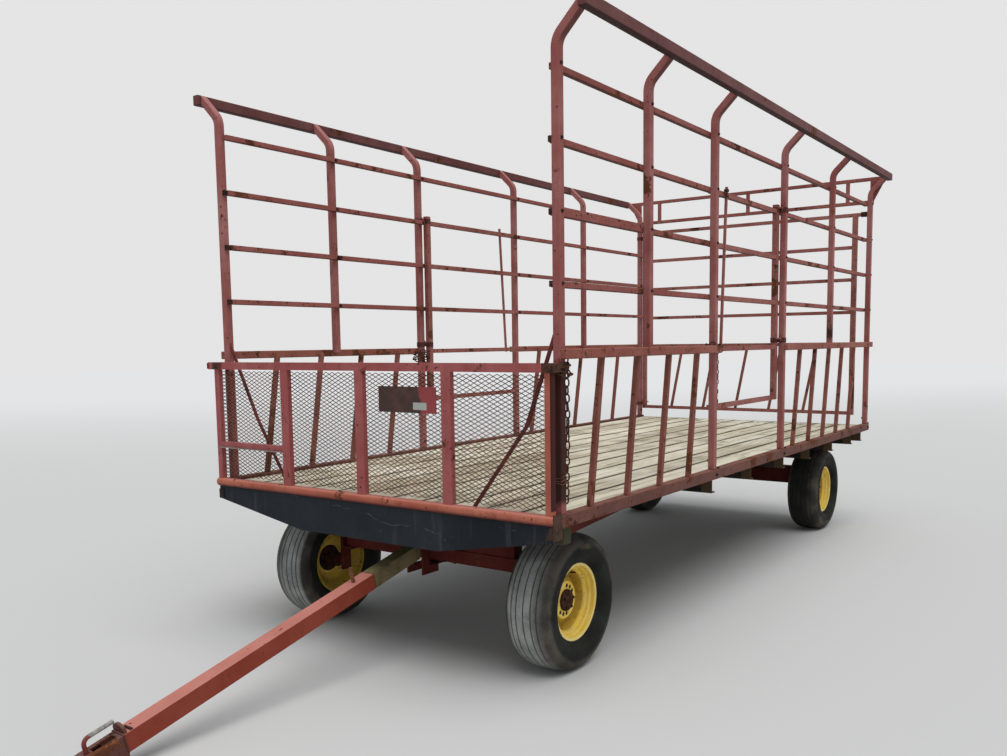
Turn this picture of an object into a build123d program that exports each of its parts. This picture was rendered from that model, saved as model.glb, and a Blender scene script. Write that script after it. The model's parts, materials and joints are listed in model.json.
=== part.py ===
from build123d import *
import os
from math import cos, radians, sin, tan

# A hay wagon: a plank deck with a steel rack on a four-wheel running gear.
# Millimetres. +X points forward to the tongue, +Y to the wagon's left, +Z up, ground at Z 0.

# Overall sizes
RACK_LENGTH = 5490.0      # front corner posts to rear corner posts
RACK_HALF_WIDTH = 1220.0  # middle of the wagon to the middle of a post
GAP = 0.3                 # room left between round faces of neighbouring pieces

# Running gear
TYRE_R = 375.0
TYRE_W = 280.0
RIM_SEAT_R = 203.2
FRONT_AXLE_BACK = 495.0   # behind the front posts
REAR_AXLE_BACK = 0.9 * RACK_LENGTH
TRACK_HALF = 905.0
AXLE_BOTTOM = 492.0
AXLE_TOP = 570.0
AXLE_DEPTH = 90.0
KINGPIN_IN = 200.0        # kingpin inside the middle of its wheel
KINGPIN_R = 12.5
SPINDLE_R = 22.5
RUNNING_FIT = 0.05
ARM_LENGTH = 140.0        # kingpin back to the tie rod pin
ARM_OUT = 40.0            # tie rod pin outside the kingpin, and outside the middle at the bracket
ARM_T = 17.0
ARM_DROP = 9.0            # arms below the front axle
TIE_ROD_R = 11.0
TIE_PIN_R = 8.0
STEER_PIN_R = 15.0

# Tongue, measured along its own line from the hinge
HINGE_AHEAD = 150.0       # tongue hinge ahead of the front axle's middle
HINGE_Z = 578.0
HINGE_PIN_R = 12.0
TONGUE_SLOPE = 13.6       # degrees down to the ground as parked
TUBE_SIZE = 86.0
TUBE_WALL = 6.0
TUBE_START = 422.0
TUBE_END = 1965.0
INNER_SIZE = TUBE_SIZE - 2 * TUBE_WALL - 2.0
CLEVIS_TIP = 2190.0
CLEVIS_TOP = 41.0         # above the tongue's line

# Deck: its height leaves room for the tyres under the cross sills
TYRE_ROOM = 38.0
PLANK_T = 38.0
PLANK_COUNT = 11
PLANK_GAP = 6.0
SILL_H = 115.0
PLANK_TOP = 2 * TYRE_R + TYRE_ROOM + SILL_H + PLANK_T
SILL_W = 50.0
MAIN_H = 78.0
MAIN_Y = 450.0
CHANNEL_WALL = 8.0
RAIL_BOTTOM = PLANK_TOP - 47.0
RAIL_TOP = PLANK_TOP + 17.0
RAIL_IN = RACK_HALF_WIDTH - 30.0
RAIL_OUT = RACK_HALF_WIDTH + 30.0

# Rack; its heights are measured from the top of the planks
POST = 44.0
BAR = 32.0
BAR_T = 30.0
UPPER_RAIL_Z = tuple(PLANK_TOP + rise for rise in (2100.0, 1770.0, 1441.0, 1110.0))
MID_RAIL_Z = PLANK_TOP + 782.0
MID_RAIL_H = 48.0
TOP_RAIL_Y = RACK_HALF_WIDTH + 160.0
TOP_RAIL_Z = PLANK_TOP + 2340.0
TOP_RAIL = 48.0
TOP_RAIL_H = 62.0
BEND = 46.0               # degrees a post leans out at the top rail
BEND_END = 106.0          # how far the straight part beyond a post's bend reaches out

# Posts of one side: share of the rack's length behind the front corner posts, and whether they
# reach the deck
POSTS = (
    {"share": 0.0, "full": True},
    {"share": 0.1656, "full": False},
    {"share": 0.3291, "full": True},
    {"share": 0.5623, "full": True},
    {"share": 0.7796, "full": False},
    {"share": 1.0, "full": True},
)
DOOR_FRONT = POSTS[2]["share"] * RACK_LENGTH
DOOR_REAR = POSTS[3]["share"] * RACK_LENGTH

# Leaning slats of one side, as shares of their bay: foot of the first, spacing; and how many,
# and how far the top leans back
SLATS = (
    {"from": 0.0, "to": DOOR_FRONT, "first": 0.147, "step": 0.214, "count": 4, "lean": 120.0},
    {"from": DOOR_REAR, "to": RACK_LENGTH, "first": 0.105, "step": 0.159, "count": 5, "lean": 147.0},
)
SLAT = 30.0
SLAT_TOP = MID_RAIL_Z - 4.0

# Cross sills, as shares of the rack's length; one more closes the rear end
CROSS_SILLS = (0.110, 0.228, 0.346, 0.472, 0.596, 0.712, 0.829, 0.940)
SHORT_SILLS = CROSS_SILLS[:2]
SHORT_SILL_HALF = RACK_HALF_WIDTH - 290.0
END_SILL_BACK = RACK_LENGTH + 5.0

# Front panel
PANEL_X = 85.0            # ahead of the front posts
PANEL_T = 30.0
PANEL_RAIL_Z = PLANK_TOP + 719.0
PANEL_RAIL_H = 44.0
PANEL_RAIL_PAST = 80.0    # top rail past the right front post
PANEL_HALF = RACK_HALF_WIDTH + 20.0
END_BAR_W = 40.0
SILL_TUBE_R = 27.0
SILL_TUBE_Z = PLANK_TOP - 1.0
PANEL_BARS = (-606.0, -6.0, 604.0)
PANEL_BAR_W = 62.0
STEP_Z = PLANK_TOP + 237.0
STEP_H = 30.0
MESH_T = 4.0
SIGN_Y = (118.0, 519.0)
SIGN_Z = (PLANK_TOP + 480.0, PLANK_TOP + 617.0)
SIGN_T = 3.0
BRACE_W = 26.0            # level width of a brace
BRACE_T = 9.0
BRACE_RISE = 55.0         # height of a brace's upper end
BELLY_END_Z = PLANK_TOP - 106.0
BELLY_MID_Z = PLANK_TOP - 232.0
BELLY_FLAT = 515.0
BELLY_T = 10.0
BELLY_TOP = SILL_TUBE_Z - SILL_TUBE_R - GAP
WOOD_SILL = (75.0, 145.0)     # front and back faces behind the front posts

# Gates
GATE_RAIL_Z = UPPER_RAIL_Z[1:] + (MID_RAIL_Z, PLANK_TOP + 409.0)
GATE_STILE = 40.0
GATE_GAP = 8.0
HINGE_OUT = POST + 23.5   # rear gate's hinge pin behind the middle of its post
GATE_IN = (POST + GATE_STILE) / 2   # side gates inside the line of the posts
STILE_OFF = POST / 2 + 12.0   # side gate's stile from the middle of its hinge post
SIDE_PIN_OFF = POST / 2 + 18.0   # its hinge pin from the middle of that post
SIDE_PIN_IN = 5.0         # and inside the line of the posts
HINGE_R = 8.0
HINGE_EYE_R = 20.0
HINGE_LUG_R = 14.0
SIDE_EYE_R = 12.0
SIDE_PIN_R = 6.5
HINGE_LUG = 20.0
STRAP = 12.0
SIDE_HINGE_Z = (UPPER_RAIL_Z[1] + 20.0, MID_RAIL_Z + MID_RAIL_H / 2 + 34.0)
REAR_RAIL_RISES = (2016.0, 1711.0, 1404.0, 1092.0, 788.0, 112.0)
REAR_RAIL_Z = tuple(PLANK_TOP + rise for rise in REAR_RAIL_RISES)
REAR_HINGE_Z = (REAR_RAIL_Z[0] - 50.0, REAR_RAIL_Z[-1] + 45.0)
REAR_SLATS = (-716.0, -345.0, 18.0, 377.0, 733.0)
REAR_SLAT_LEAN = 125.0
REAR_SLAT = 25.0
REAR_GATE_BACK = 25.0     # rear gate behind the middle of the rear posts
FREE_STILE = (RACK_HALF_WIDTH - 162.0, RACK_HALF_WIDTH - 117.0)

SIDES = ({"name": "left", "s": 1.0}, {"name": "right", "s": -1.0})

slope = radians(TONGUE_SLOPE)
tongue_reach = HINGE_AHEAD + CLEVIS_TIP * cos(slope) + CLEVIS_TOP * sin(slope)
# Front corner posts: set so that the middle of the whole wagon, hinges to clevis, is at X 0
FRONT_X = (RACK_LENGTH + HINGE_OUT + HINGE_EYE_R + FRONT_AXLE_BACK - tongue_reach) / 2

plank_bottom = PLANK_TOP - PLANK_T
sill_bottom = plank_bottom - SILL_H
main_bottom = sill_bottom - MAIN_H
front_axle_x = FRONT_X - FRONT_AXLE_BACK
rear_axle_x = FRONT_X - REAR_AXLE_BACK
rear_post_x = FRONT_X - RACK_LENGTH
rack_front = FRONT_X + PANEL_X - BELLY_T / 2
deck_front = FRONT_X + PANEL_X - SILL_TUBE_R - GAP
rack_rear = rear_post_x - POST
kingpin_y = TRACK_HALF - KINGPIN_IN
spindle_z = TYRE_R
arm_top = AXLE_BOTTOM - ARM_DROP
arm_bottom = arm_top - ARM_T
post_in = RACK_HALF_WIDTH - POST / 2
post_out = RACK_HALF_WIDTH + POST / 2


def block(x, y, z, mode=Mode.ADD):
    # A box from three pairs of limits
    centre = ((x[0] + x[1]) / 2, (y[0] + y[1]) / 2, (z[0] + z[1]) / 2)
    with Locations(centre):
        Box(abs(x[1] - x[0]), abs(y[1] - y[0]), abs(z[1] - z[0]), mode=mode)


def upright(x, y, z, radius, mode=Mode.ADD):
    # A vertical round bar or hole between two heights
    with Locations((x, y, (z[0] + z[1]) / 2)):
        Cylinder(radius, z[1] - z[0], mode=mode)


def strut(start, end, size):
    # A square bar between two points
    a, b = Vector(*start), Vector(*end)
    run = b - a
    side = Vector(0, 1, 0) if abs(run.Y) < abs(run.X) + abs(run.Z) * 0.2 else Vector(1, 0, 0)
    with Locations(Plane(origin=(a + b) * 0.5, x_dir=side, z_dir=run).location):
        Box(size, size, run.length)


def save(built, name):
    built.part.label = name
    export_step(built.part, f"parts/{name}.step")


os.makedirs("parts", exist_ok=True)

# Deck planks, lengthwise
deck_half = RAIL_IN - PLANK_GAP
pitch = 2 * deck_half / PLANK_COUNT
with BuildPart() as deck_planks:
    for i in range(PLANK_COUNT):
        y0 = -deck_half + i * pitch
        block((rack_rear, deck_front), (y0, y0 + pitch - PLANK_GAP), (plank_bottom, PLANK_TOP))
save(deck_planks, "deck_planks")

# Cross sills under the planks: channels open to the rear
with BuildPart() as cross_sills:
    rows = [(share * RACK_LENGTH, share in SHORT_SILLS) for share in CROSS_SILLS]
    for back, short in rows + [(END_SILL_BACK, False)]:
        x = FRONT_X - back
        half = SHORT_SILL_HALF if short else RAIL_IN
        for xs, zs in (
            ((x + SILL_W / 2 - CHANNEL_WALL, x + SILL_W / 2), (sill_bottom, plank_bottom)),
            ((x - SILL_W / 2, x + SILL_W / 2), (plank_bottom - CHANNEL_WALL, plank_bottom)),
            ((x - SILL_W / 2, x + SILL_W / 2), (sill_bottom, sill_bottom + CHANNEL_WALL)),
        ):
            block(xs, (-half, half), zs)
save(cross_sills, "cross_sills")

# Timber sill behind the front plate
with BuildPart() as front_wood_sill:
    faces = (FRONT_X - WOOD_SILL[1], FRONT_X - WOOD_SILL[0])
    block(faces, (-RAIL_IN, RAIL_IN), (sill_bottom, plank_bottom))
save(front_wood_sill, "front_wood_sill")

# Two main sills, channels open to the middle
with BuildPart() as main_sills:
    for side in SIDES:
        y = side["s"] * MAIN_Y
        web = sorted((y + side["s"] * (SILL_W / 2 - CHANNEL_WALL), y + side["s"] * SILL_W / 2))
        full = (y - SILL_W / 2, y + SILL_W / 2)
        run = (rack_rear, rack_front)
        block(run, web, (main_bottom, sill_bottom))
        block(run, full, (main_bottom, main_bottom + CHANNEL_WALL))
        block(run, full, (sill_bottom - CHANNEL_WALL, sill_bottom))
save(main_sills, "main_sills")

# Front plate, deeper in the middle, with a box at each end
with BuildPart() as front_plate:
    with BuildSketch(Plane.YZ.offset(rack_front)):
        with BuildLine():
            Polyline(
                (-RAIL_OUT, BELLY_TOP), (RAIL_OUT, BELLY_TOP), (RAIL_OUT, BELLY_END_Z),
                (BELLY_FLAT, BELLY_MID_Z), (-BELLY_FLAT, BELLY_MID_Z), (-RAIL_OUT, BELLY_END_Z),
                close=True,
            )
        make_face()
    extrude(amount=BELLY_T)
save(front_plate, "front_plate")

# Rails along the deck edges
with BuildPart() as deck_edge_rails:
    for side in SIDES:
        s = side["s"]
        block((rack_rear, deck_front), sorted((s * RAIL_IN, s * RAIL_OUT)), (RAIL_BOTTOM, RAIL_TOP))
save(deck_edge_rails, "deck_edge_rails")


def bent_post(s, foot):
    # Outline of a post in the YZ plane: upright, then curving outward to the top rail
    half = POST / 2
    end_y = TOP_RAIL_Y - TOP_RAIL / 2
    steps = 6
    lean = radians(BEND)
    radius = (end_y - RACK_HALF_WIDTH - BEND_END) / (1 - cos(lean))
    start_z = TOP_RAIL_Z - radius * sin(lean) - BEND_END / tan(lean)
    inner, outer = [], []
    for i in range(steps + 1):
        a = lean * i / steps
        y = RACK_HALF_WIDTH + radius * (1 - cos(a))
        z = start_z + radius * sin(a)
        inner.append((y - half * cos(a), z + half * sin(a)))
        outer.append((y + half * cos(a), z - half * sin(a)))
    for line in (inner, outer):
        y, z = line[-1]
        line.append((end_y, z + (end_y - y) / tan(lean)))
    ring = [(RACK_HALF_WIDTH - half, foot)] + inner + outer[::-1] + [(RACK_HALF_WIDTH + half, foot)]
    return [(s * y, z) for y, z in ring]


with BuildPart() as rack_posts:
    for side in SIDES:
        for post in POSTS:
            foot = RAIL_TOP if post["full"] else MID_RAIL_Z
            with BuildSketch(Plane.YZ.offset(FRONT_X - post["share"] * RACK_LENGTH - POST / 2)):
                with BuildLine():
                    Polyline(*bent_post(side["s"], foot), close=True)
                make_face()
            extrude(amount=POST)
save(rack_posts, "rack_posts")

# Top rails, outboard of the posts
with BuildPart() as top_rails:
    for side in SIDES:
        y = side["s"] * TOP_RAIL_Y
        block(
            (rack_rear, FRONT_X + POST),
            (y - TOP_RAIL / 2, y + TOP_RAIL / 2),
            (TOP_RAIL_Z - TOP_RAIL_H / 2, TOP_RAIL_Z + TOP_RAIL_H / 2),
        )
save(top_rails, "top_rails")

# Upper rails, on the inner faces of the posts; only the highest crosses the door bay
RAIL_END = 3.0
RAIL_START = 8.0          # behind the middle of the front posts
with BuildPart() as upper_rails:
    for side in SIDES:
        ys = sorted((side["s"] * post_in, side["s"] * (post_in - BAR_T)))
        for z in UPPER_RAIL_Z:
            zs = (z - BAR / 2, z + BAR / 2)
            if z == UPPER_RAIL_Z[0]:
                runs = ((0.0, RACK_LENGTH),)
            else:
                runs = ((0.0, DOOR_FRONT), (DOOR_REAR, RACK_LENGTH))
            for a, b in runs:
                end = b - RAIL_END if b == RACK_LENGTH else b + POST / 2
                start = RAIL_START if a == 0.0 else a - POST / 2
                block((FRONT_X - end, FRONT_X - start), ys, zs)
save(upper_rails, "upper_rails")

# Mid rails, on the outer faces of the posts
with BuildPart() as mid_rails:
    for side in SIDES:
        ys = sorted((side["s"] * post_out, side["s"] * (post_out + BAR_T)))
        for a, b in ((0.0, DOOR_FRONT), (DOOR_REAR, RACK_LENGTH)):
            zs = (MID_RAIL_Z - MID_RAIL_H / 2, MID_RAIL_Z + MID_RAIL_H / 2)
            block((FRONT_X - b - POST / 2, FRONT_X - a + POST / 2), ys, zs)
save(mid_rails, "mid_rails")

# Leaning slats between the deck edge and the mid rails
with BuildPart() as side_slats:
    for side in SIDES:
        for row in SLATS:
            for i in range(row["count"]):
                bay = row["to"] - row["from"]
                foot = FRONT_X - row["from"] - (row["first"] + i * row["step"]) * bay
                y_out = side["s"] * post_out
                with BuildSketch(Plane.XZ.offset(-y_out)):
                    with BuildLine():
                        Polyline(
                            (foot - SLAT / 2, RAIL_TOP), (foot + SLAT / 2, RAIL_TOP),
                            (foot + SLAT / 2 - row["lean"], SLAT_TOP),
                            (foot - SLAT / 2 - row["lean"], SLAT_TOP),
                            close=True,
                        )
                    make_face()
                extrude(amount=side["s"] * SLAT)
save(side_slats, "side_slats")

# Header over the rear gate: two rails, three short posts and a gusset at each corner
HEADER_Z = (TOP_RAIL_Z, TOP_RAIL_Z - 213.0)
HEADER_POSTS = (-1000.0, 0.0, 1000.0)
GUSSET_T = 6.0
header_half = TOP_RAIL_Y - TOP_RAIL / 2
with BuildPart() as rear_header:
    xs = (rear_post_x - POST / 2 - BAR_T, rear_post_x - POST / 2)
    block(xs, (-header_half, header_half), (HEADER_Z[0] - BAR / 2, HEADER_Z[0] + BAR / 2))
    block(xs, (-post_out, post_out), (HEADER_Z[1] - BAR / 2, HEADER_Z[1] + BAR / 2))
    for y in HEADER_POSTS:
        block(xs, (y - BAR / 2, y + BAR / 2), HEADER_Z[::-1])
    for side in SIDES:
        s = side["s"]
        with BuildSketch(Plane.YZ.offset(rear_post_x - POST / 2 - GUSSET_T)):
            with BuildLine():
                Polyline(
                    (s * (post_out - BAR), HEADER_Z[1]), (s * (post_out - BAR), HEADER_Z[0]),
                    (s * header_half, HEADER_Z[0]), (s * post_out, HEADER_Z[1]), close=True,
                )
            make_face()
        extrude(amount=GUSSET_T)
save(rear_header, "rear_header")

# Front panel: bottom tube, top rail, end bars, three bars, a step and the top rail's brackets
panel_x = FRONT_X + PANEL_X
px = (panel_x - PANEL_T / 2, panel_x + PANEL_T / 2)
panel_low = SILL_TUBE_Z + SILL_TUBE_R * 0.4
panel_high = PANEL_RAIL_Z - PANEL_RAIL_H / 2
with BuildPart() as front_panel_frame:
    with Locations(Plane(origin=(panel_x, 0, SILL_TUBE_Z), z_dir=(0, 1, 0)).location):
        Cylinder(SILL_TUBE_R, 2 * RAIL_OUT)
    rail_z = (panel_high, panel_high + PANEL_RAIL_H)
    block(px, (-RACK_HALF_WIDTH - PANEL_RAIL_PAST, RAIL_OUT), rail_z)
    for s in (-1.0, 1.0):
        ys = sorted((s * PANEL_HALF, s * (PANEL_HALF - END_BAR_W)))
        block(px, ys, (panel_low, panel_high))
        block((FRONT_X + POST / 2, px[0]), ys, rail_z)
    for y in PANEL_BARS:
        block(px, (y - PANEL_BAR_W / 2, y + PANEL_BAR_W / 2), (panel_low, panel_high))
    step_y = (-PANEL_HALF + END_BAR_W, PANEL_BARS[0] - PANEL_BAR_W / 2)
    block(px, step_y, (STEP_Z - STEP_H / 2, STEP_Z + STEP_H / 2))
save(front_panel_frame, "front_panel_frame")

# Mesh sheet behind the bars
with BuildPart() as front_panel_mesh:
    mesh_z = (SILL_TUBE_Z + SILL_TUBE_R, panel_high)
    block((px[0] - MESH_T, px[0]), (-PANEL_HALF, PANEL_HALF), mesh_z)
save(front_panel_mesh, "front_panel_mesh")

# Blank sign plate on the mesh
with BuildPart() as sign_plate:
    block((px[0], px[0] + SIGN_T), SIGN_Y, SIGN_Z)
save(sign_plate, "sign_plate")

# Diagonal braces from the front corner posts to the deck; both are bent, the left one more.
# Foot and knee are measured inside the middle of the post, knee and top above the deck.
BRACES = (
    {"s": 1.0, "foot": 538.0, "knee": (200.0, 436.0), "top": 905.0},
    {"s": -1.0, "foot": 522.0, "knee": (262.0, 392.0), "top": 862.0},
)
with BuildPart() as front_braces:
    for brace in BRACES:
        s = brace["s"]
        foot = RACK_HALF_WIDTH - brace["foot"]
        knee = RACK_HALF_WIDTH - brace["knee"][0]
        knee_z = PLANK_TOP + brace["knee"][1]
        top = PLANK_TOP + brace["top"]
        with BuildSketch(Plane.YZ.offset(FRONT_X - BRACE_T / 2)):
            with BuildLine():
                Polyline(
                    (s * foot, PLANK_TOP), (s * knee, knee_z), (s * post_in, top),
                    (s * post_in, top - BRACE_RISE), (s * (knee + BRACE_W), knee_z),
                    (s * (foot + BRACE_W), PLANK_TOP), close=True,
                )
            make_face()
        extrude(amount=BRACE_T)
save(front_braces, "front_braces")


# Running gear
BOSS_R = 32.0
half_depth = AXLE_DEPTH / 2
with BuildPart() as front_axle:
    axle_z = (AXLE_BOTTOM, AXLE_TOP)
    ends = (-kingpin_y + BOSS_R, kingpin_y - BOSS_R)
    block((front_axle_x - half_depth, front_axle_x + half_depth), ends, axle_z)
    neck = BOSS_R * 0.7
    for s in (-1.0, 1.0):
        upright(front_axle_x, s * kingpin_y, axle_z, BOSS_R)
        ys = sorted((s * (kingpin_y - BOSS_R), s * kingpin_y))
        block((front_axle_x - neck, front_axle_x + neck), ys, axle_z)
    for y, r in ((0.0, STEER_PIN_R), (kingpin_y, KINGPIN_R), (-kingpin_y, KINGPIN_R)):
        upright(front_axle_x, y, (AXLE_BOTTOM - 1, AXLE_TOP + 1), r + RUNNING_FIT, Mode.SUBTRACT)
save(front_axle, "front_axle")


def spindle(x, inner_y, outer_y):
    # A level axle end between two distances from the middle of the wagon
    with Locations(Plane(origin=(x, (inner_y + outer_y) / 2, spindle_z), z_dir=(0, 1, 0)).location):
        Cylinder(SPINDLE_R, abs(outer_y - inner_y))


SPINDLE_PAST = 28.0       # spindle beyond the middle of its wheel
REAR_AXLE_Z = (415.0, 575.0)
REAR_AXLE_IN = 145.0      # end of the rear beam inside the middle of its wheel
AXLE_END = 35.0
rear_axle_half = TRACK_HALF - REAR_AXLE_IN
with BuildPart() as rear_axle:
    beam_x = (rear_axle_x - half_depth, rear_axle_x + half_depth)
    block(beam_x, (-rear_axle_half, rear_axle_half), REAR_AXLE_Z)
    for s in (-1.0, 1.0):
        ys = sorted((s * (rear_axle_half - 20.0), s * (rear_axle_half + 20.0)))
        zs = (spindle_z - 40.0, REAR_AXLE_Z[1] - 5.0)
        block((rear_axle_x - AXLE_END, rear_axle_x + AXLE_END), ys, zs)
        spindle(rear_axle_x, s * rear_axle_half, s * (TRACK_HALF + SPINDLE_PAST))
save(rear_axle, "rear_axle")

BOLSTER_HALF = MAIN_Y + 70.0
BOLSTER_X = 40.0
BOLSTER_H = 35.0
COLUMN_HALF = 620.0
STAKE_H = SILL_H * 0.6
with BuildPart() as bolsters:
    for x, low, wide in (
        (front_axle_x, AXLE_TOP, COLUMN_HALF), (rear_axle_x, REAR_AXLE_Z[1], BOLSTER_HALF),
    ):
        xs = (x - BOLSTER_X, x + BOLSTER_X)
        block(xs, (-BOLSTER_HALF, BOLSTER_HALF), (main_bottom - BOLSTER_H, main_bottom))
        block(xs, (-wide, wide), (low, main_bottom - BOLSTER_H))
        for s in (-1.0, 1.0):
            ys = sorted((s * BOLSTER_HALF, s * (MAIN_Y + SILL_W / 2)))
            block(xs, ys, (main_bottom - BOLSTER_H, main_bottom + STAKE_H))
save(bolsters, "bolsters")

# Reach pole between the axles, with braces to each
REACH_Z = (AXLE_BOTTOM + 8.0, AXLE_TOP)
REACH_HALF = 35.0
BRACE_RUN = 900.0
BRACE_HALF = 20.0
BRACE_OUT = 420.0
BRACE_Z = (REACH_Z[0] + 10.0, REACH_Z[0] + 45.0)
reach_front = front_axle_x - half_depth
reach_rear = rear_axle_x + half_depth
with BuildPart() as reach_pole:
    block((reach_rear, reach_front), (-REACH_HALF, REACH_HALF), REACH_Z)
    for s in (-1.0, 1.0):
        for x_end, d in ((reach_front, -1.0), (reach_rear, 1.0)):
            x_mid = x_end + d * BRACE_RUN
            with BuildSketch(Plane.XY.offset(BRACE_Z[0])):
                with BuildLine():
                    Polyline(
                        (x_end, s * (BRACE_OUT - BRACE_HALF)), (x_end, s * (BRACE_OUT + BRACE_HALF)),
                        (x_mid, s * REACH_HALF), (x_mid - d * 3 * BRACE_HALF, s * REACH_HALF),
                        close=True,
                    )
                make_face()
            extrude(amount=BRACE_Z[1] - BRACE_Z[0])
save(reach_pole, "reach_pole")

# Steering knuckles
EAR = 18.0
EAR_GAP = 8.0
EAR_HALF = 32.0
BACK_PLATE = (45.0, 67.0)   # outside the kingpin
ARM_HALF = 25.0
EYE_R = 20.0
EYE_H = 26.5
EYE_GAP = 0.5
eye_z = (arm_bottom - EYE_GAP - EYE_H, arm_bottom - EYE_GAP)
tie_x = front_axle_x - ARM_LENGTH
ear_top = AXLE_TOP + EAR_GAP + EAR
for side in SIDES:
    s = side["s"]
    y = s * kingpin_y
    tip_y = y + s * ARM_OUT
    plate_y = sorted((y + s * BACK_PLATE[0], y + s * BACK_PLATE[1]))
    ear_x = (front_axle_x - EAR_HALF, front_axle_x + EAR_HALF)
    ear_y = sorted((y - s * BOSS_R, y + s * BACK_PLATE[1]))
    with BuildPart() as knuckle:
        plate_x = (front_axle_x - AXLE_END, front_axle_x + AXLE_END)
        block(plate_x, plate_y, (spindle_z - 50.0, ear_top))
        block(ear_x, ear_y, (AXLE_TOP + EAR_GAP, ear_top))
        block(ear_x, ear_y, (arm_bottom, arm_top))
        upright(front_axle_x, y, (arm_bottom, ear_top + EAR_GAP), KINGPIN_R)
        with BuildSketch(Plane.XY.offset(arm_bottom)):
            with BuildLine():
                Polyline(
                    (front_axle_x, y - ARM_HALF), (front_axle_x, y + ARM_HALF),
                    (tie_x, tip_y + ARM_HALF), (tie_x, tip_y - ARM_HALF), close=True,
                )
            make_face()
        extrude(amount=ARM_T)
        upright(tie_x, tip_y, (arm_bottom, arm_top), ARM_HALF)
        upright(tie_x, tip_y, (eye_z[0] - TIE_PIN_R, arm_top), TIE_PIN_R)
        spindle(front_axle_x, y + s * BACK_PLATE[0], s * (TRACK_HALF + SPINDLE_PAST))
    save(knuckle, f"knuckle_{side['name']}")

# Steering bracket: the tongue swings it, and it carries the inner ends of the tie rods
CHEEK = (TUBE_SIZE / 2 + 8.0, TUBE_SIZE / 2 + 20.0)
CHEEK_BACK = 40.0
CHEEK_HALF = 30.0
CHEEK_LOW = 430.0
PLATE_FRONT = 85.0
PLATE_T = 13.0
hinge_x = front_axle_x + HINGE_AHEAD
plate_z = (arm_bottom, arm_bottom + PLATE_T)
with BuildPart() as steering_bracket:
    block((tie_x, front_axle_x + PLATE_FRONT), (-CHEEK[0], CHEEK[0]), plate_z)
    bar_half = ARM_OUT + ARM_HALF
    block((tie_x - ARM_HALF, tie_x + ARM_HALF), (-bar_half, bar_half), plate_z)
    for s in (-1.0, 1.0):
        with BuildSketch(Plane.XZ.offset(-s * CHEEK[0])):
            with BuildLine():
                Polyline(
                    (front_axle_x + CHEEK_BACK, CHEEK_LOW), (hinge_x + CHEEK_HALF, CHEEK_LOW),
                    (hinge_x + CHEEK_HALF, HINGE_Z + CHEEK_HALF),
                    (hinge_x - CHEEK_HALF, HINGE_Z + CHEEK_HALF),
                    (hinge_x - CHEEK_HALF, plate_z[1]), (front_axle_x + CHEEK_BACK, plate_z[1]),
                    close=True,
                )
            make_face()
        extrude(amount=-s * (CHEEK[1] - CHEEK[0]))
        upright(tie_x, s * ARM_OUT, (eye_z[0] - TIE_PIN_R, plate_z[1]), TIE_PIN_R)
    upright(front_axle_x, 0.0, (arm_bottom, AXLE_TOP - 5.0), STEER_PIN_R)
    with Locations(Plane(origin=(hinge_x, 0, HINGE_Z), z_dir=(0, 1, 0)).location):
        Cylinder(HINGE_PIN_R, 2 * CHEEK[1] + 16.0)
save(steering_bracket, "steering_bracket")

# Tie rods, hanging under the arms
for side in SIDES:
    s = side["s"]
    ends = sorted((s * ARM_OUT, s * (kingpin_y + ARM_OUT)))
    with BuildPart() as tie_rod:
        middle = (tie_x, sum(ends) / 2, sum(eye_z) / 2)
        with Locations(Plane(origin=middle, z_dir=(0, 1, 0)).location):
            Cylinder(TIE_ROD_R, ends[1] - ends[0])
        for y in ends:
            upright(tie_x, y, eye_z, EYE_R)
        for y in ends:
            upright(tie_x, y, (eye_z[0] - 1, eye_z[1] + 1), TIE_PIN_R + RUNNING_FIT, Mode.SUBTRACT)
    save(tie_rod, f"tie_rod_{side['name']}")

# Tongue, drawn along its own line from the hinge
tongue_plane = Plane(
    origin=(hinge_x, 0, HINGE_Z), x_dir=(cos(slope), 0, -sin(slope)), z_dir=(sin(slope), 0, cos(slope))
)
LOCK_PIN_AT = 535.0
LOCK_PIN_R = 10.0
LOCK_PIN = (-60.0, 130.0)
INNER_END = 800.0
SIDE_STRAP = (40.0, TUBE_START - 6.0)
SIDE_STRAP_T = 6.0
inner_half = INNER_SIZE / 2
tube_half = TUBE_SIZE / 2
with BuildPart(tongue_plane) as tongue_inner:
    block((0.0, INNER_END), (-inner_half, inner_half), (-inner_half, inner_half))
    Cylinder(inner_half, INNER_SIZE, rotation=(90, 0, 0))
    for s in (-1.0, 1.0):
        ys = sorted((s * inner_half, s * (inner_half + SIDE_STRAP_T)))
        block(SIDE_STRAP, ys, (-tube_half, tube_half))
    Cylinder(HINGE_PIN_R + RUNNING_FIT, 2 * TUBE_SIZE, rotation=(90, 0, 0), mode=Mode.SUBTRACT)
    upright(LOCK_PIN_AT, 0, (-TUBE_SIZE, TUBE_SIZE), LOCK_PIN_R + GAP, Mode.SUBTRACT)
save(tongue_inner, "tongue_inner")

with BuildPart(tongue_plane) as tongue_tube:
    block((TUBE_START, TUBE_END), (-tube_half, tube_half), (-tube_half, tube_half))
    inside = tube_half - TUBE_WALL
    block((TUBE_START - 1, TUBE_END + 1), (-inside, inside), (-inside, inside), Mode.SUBTRACT)
    upright(LOCK_PIN_AT, 0, (-TUBE_SIZE, TUBE_SIZE), LOCK_PIN_R + GAP, Mode.SUBTRACT)
save(tongue_tube, "tongue_tube")

with BuildPart(tongue_plane) as tongue_pin:
    upright(LOCK_PIN_AT, 0, LOCK_PIN, LOCK_PIN_R)
save(tongue_pin, "tongue_pin")

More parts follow.
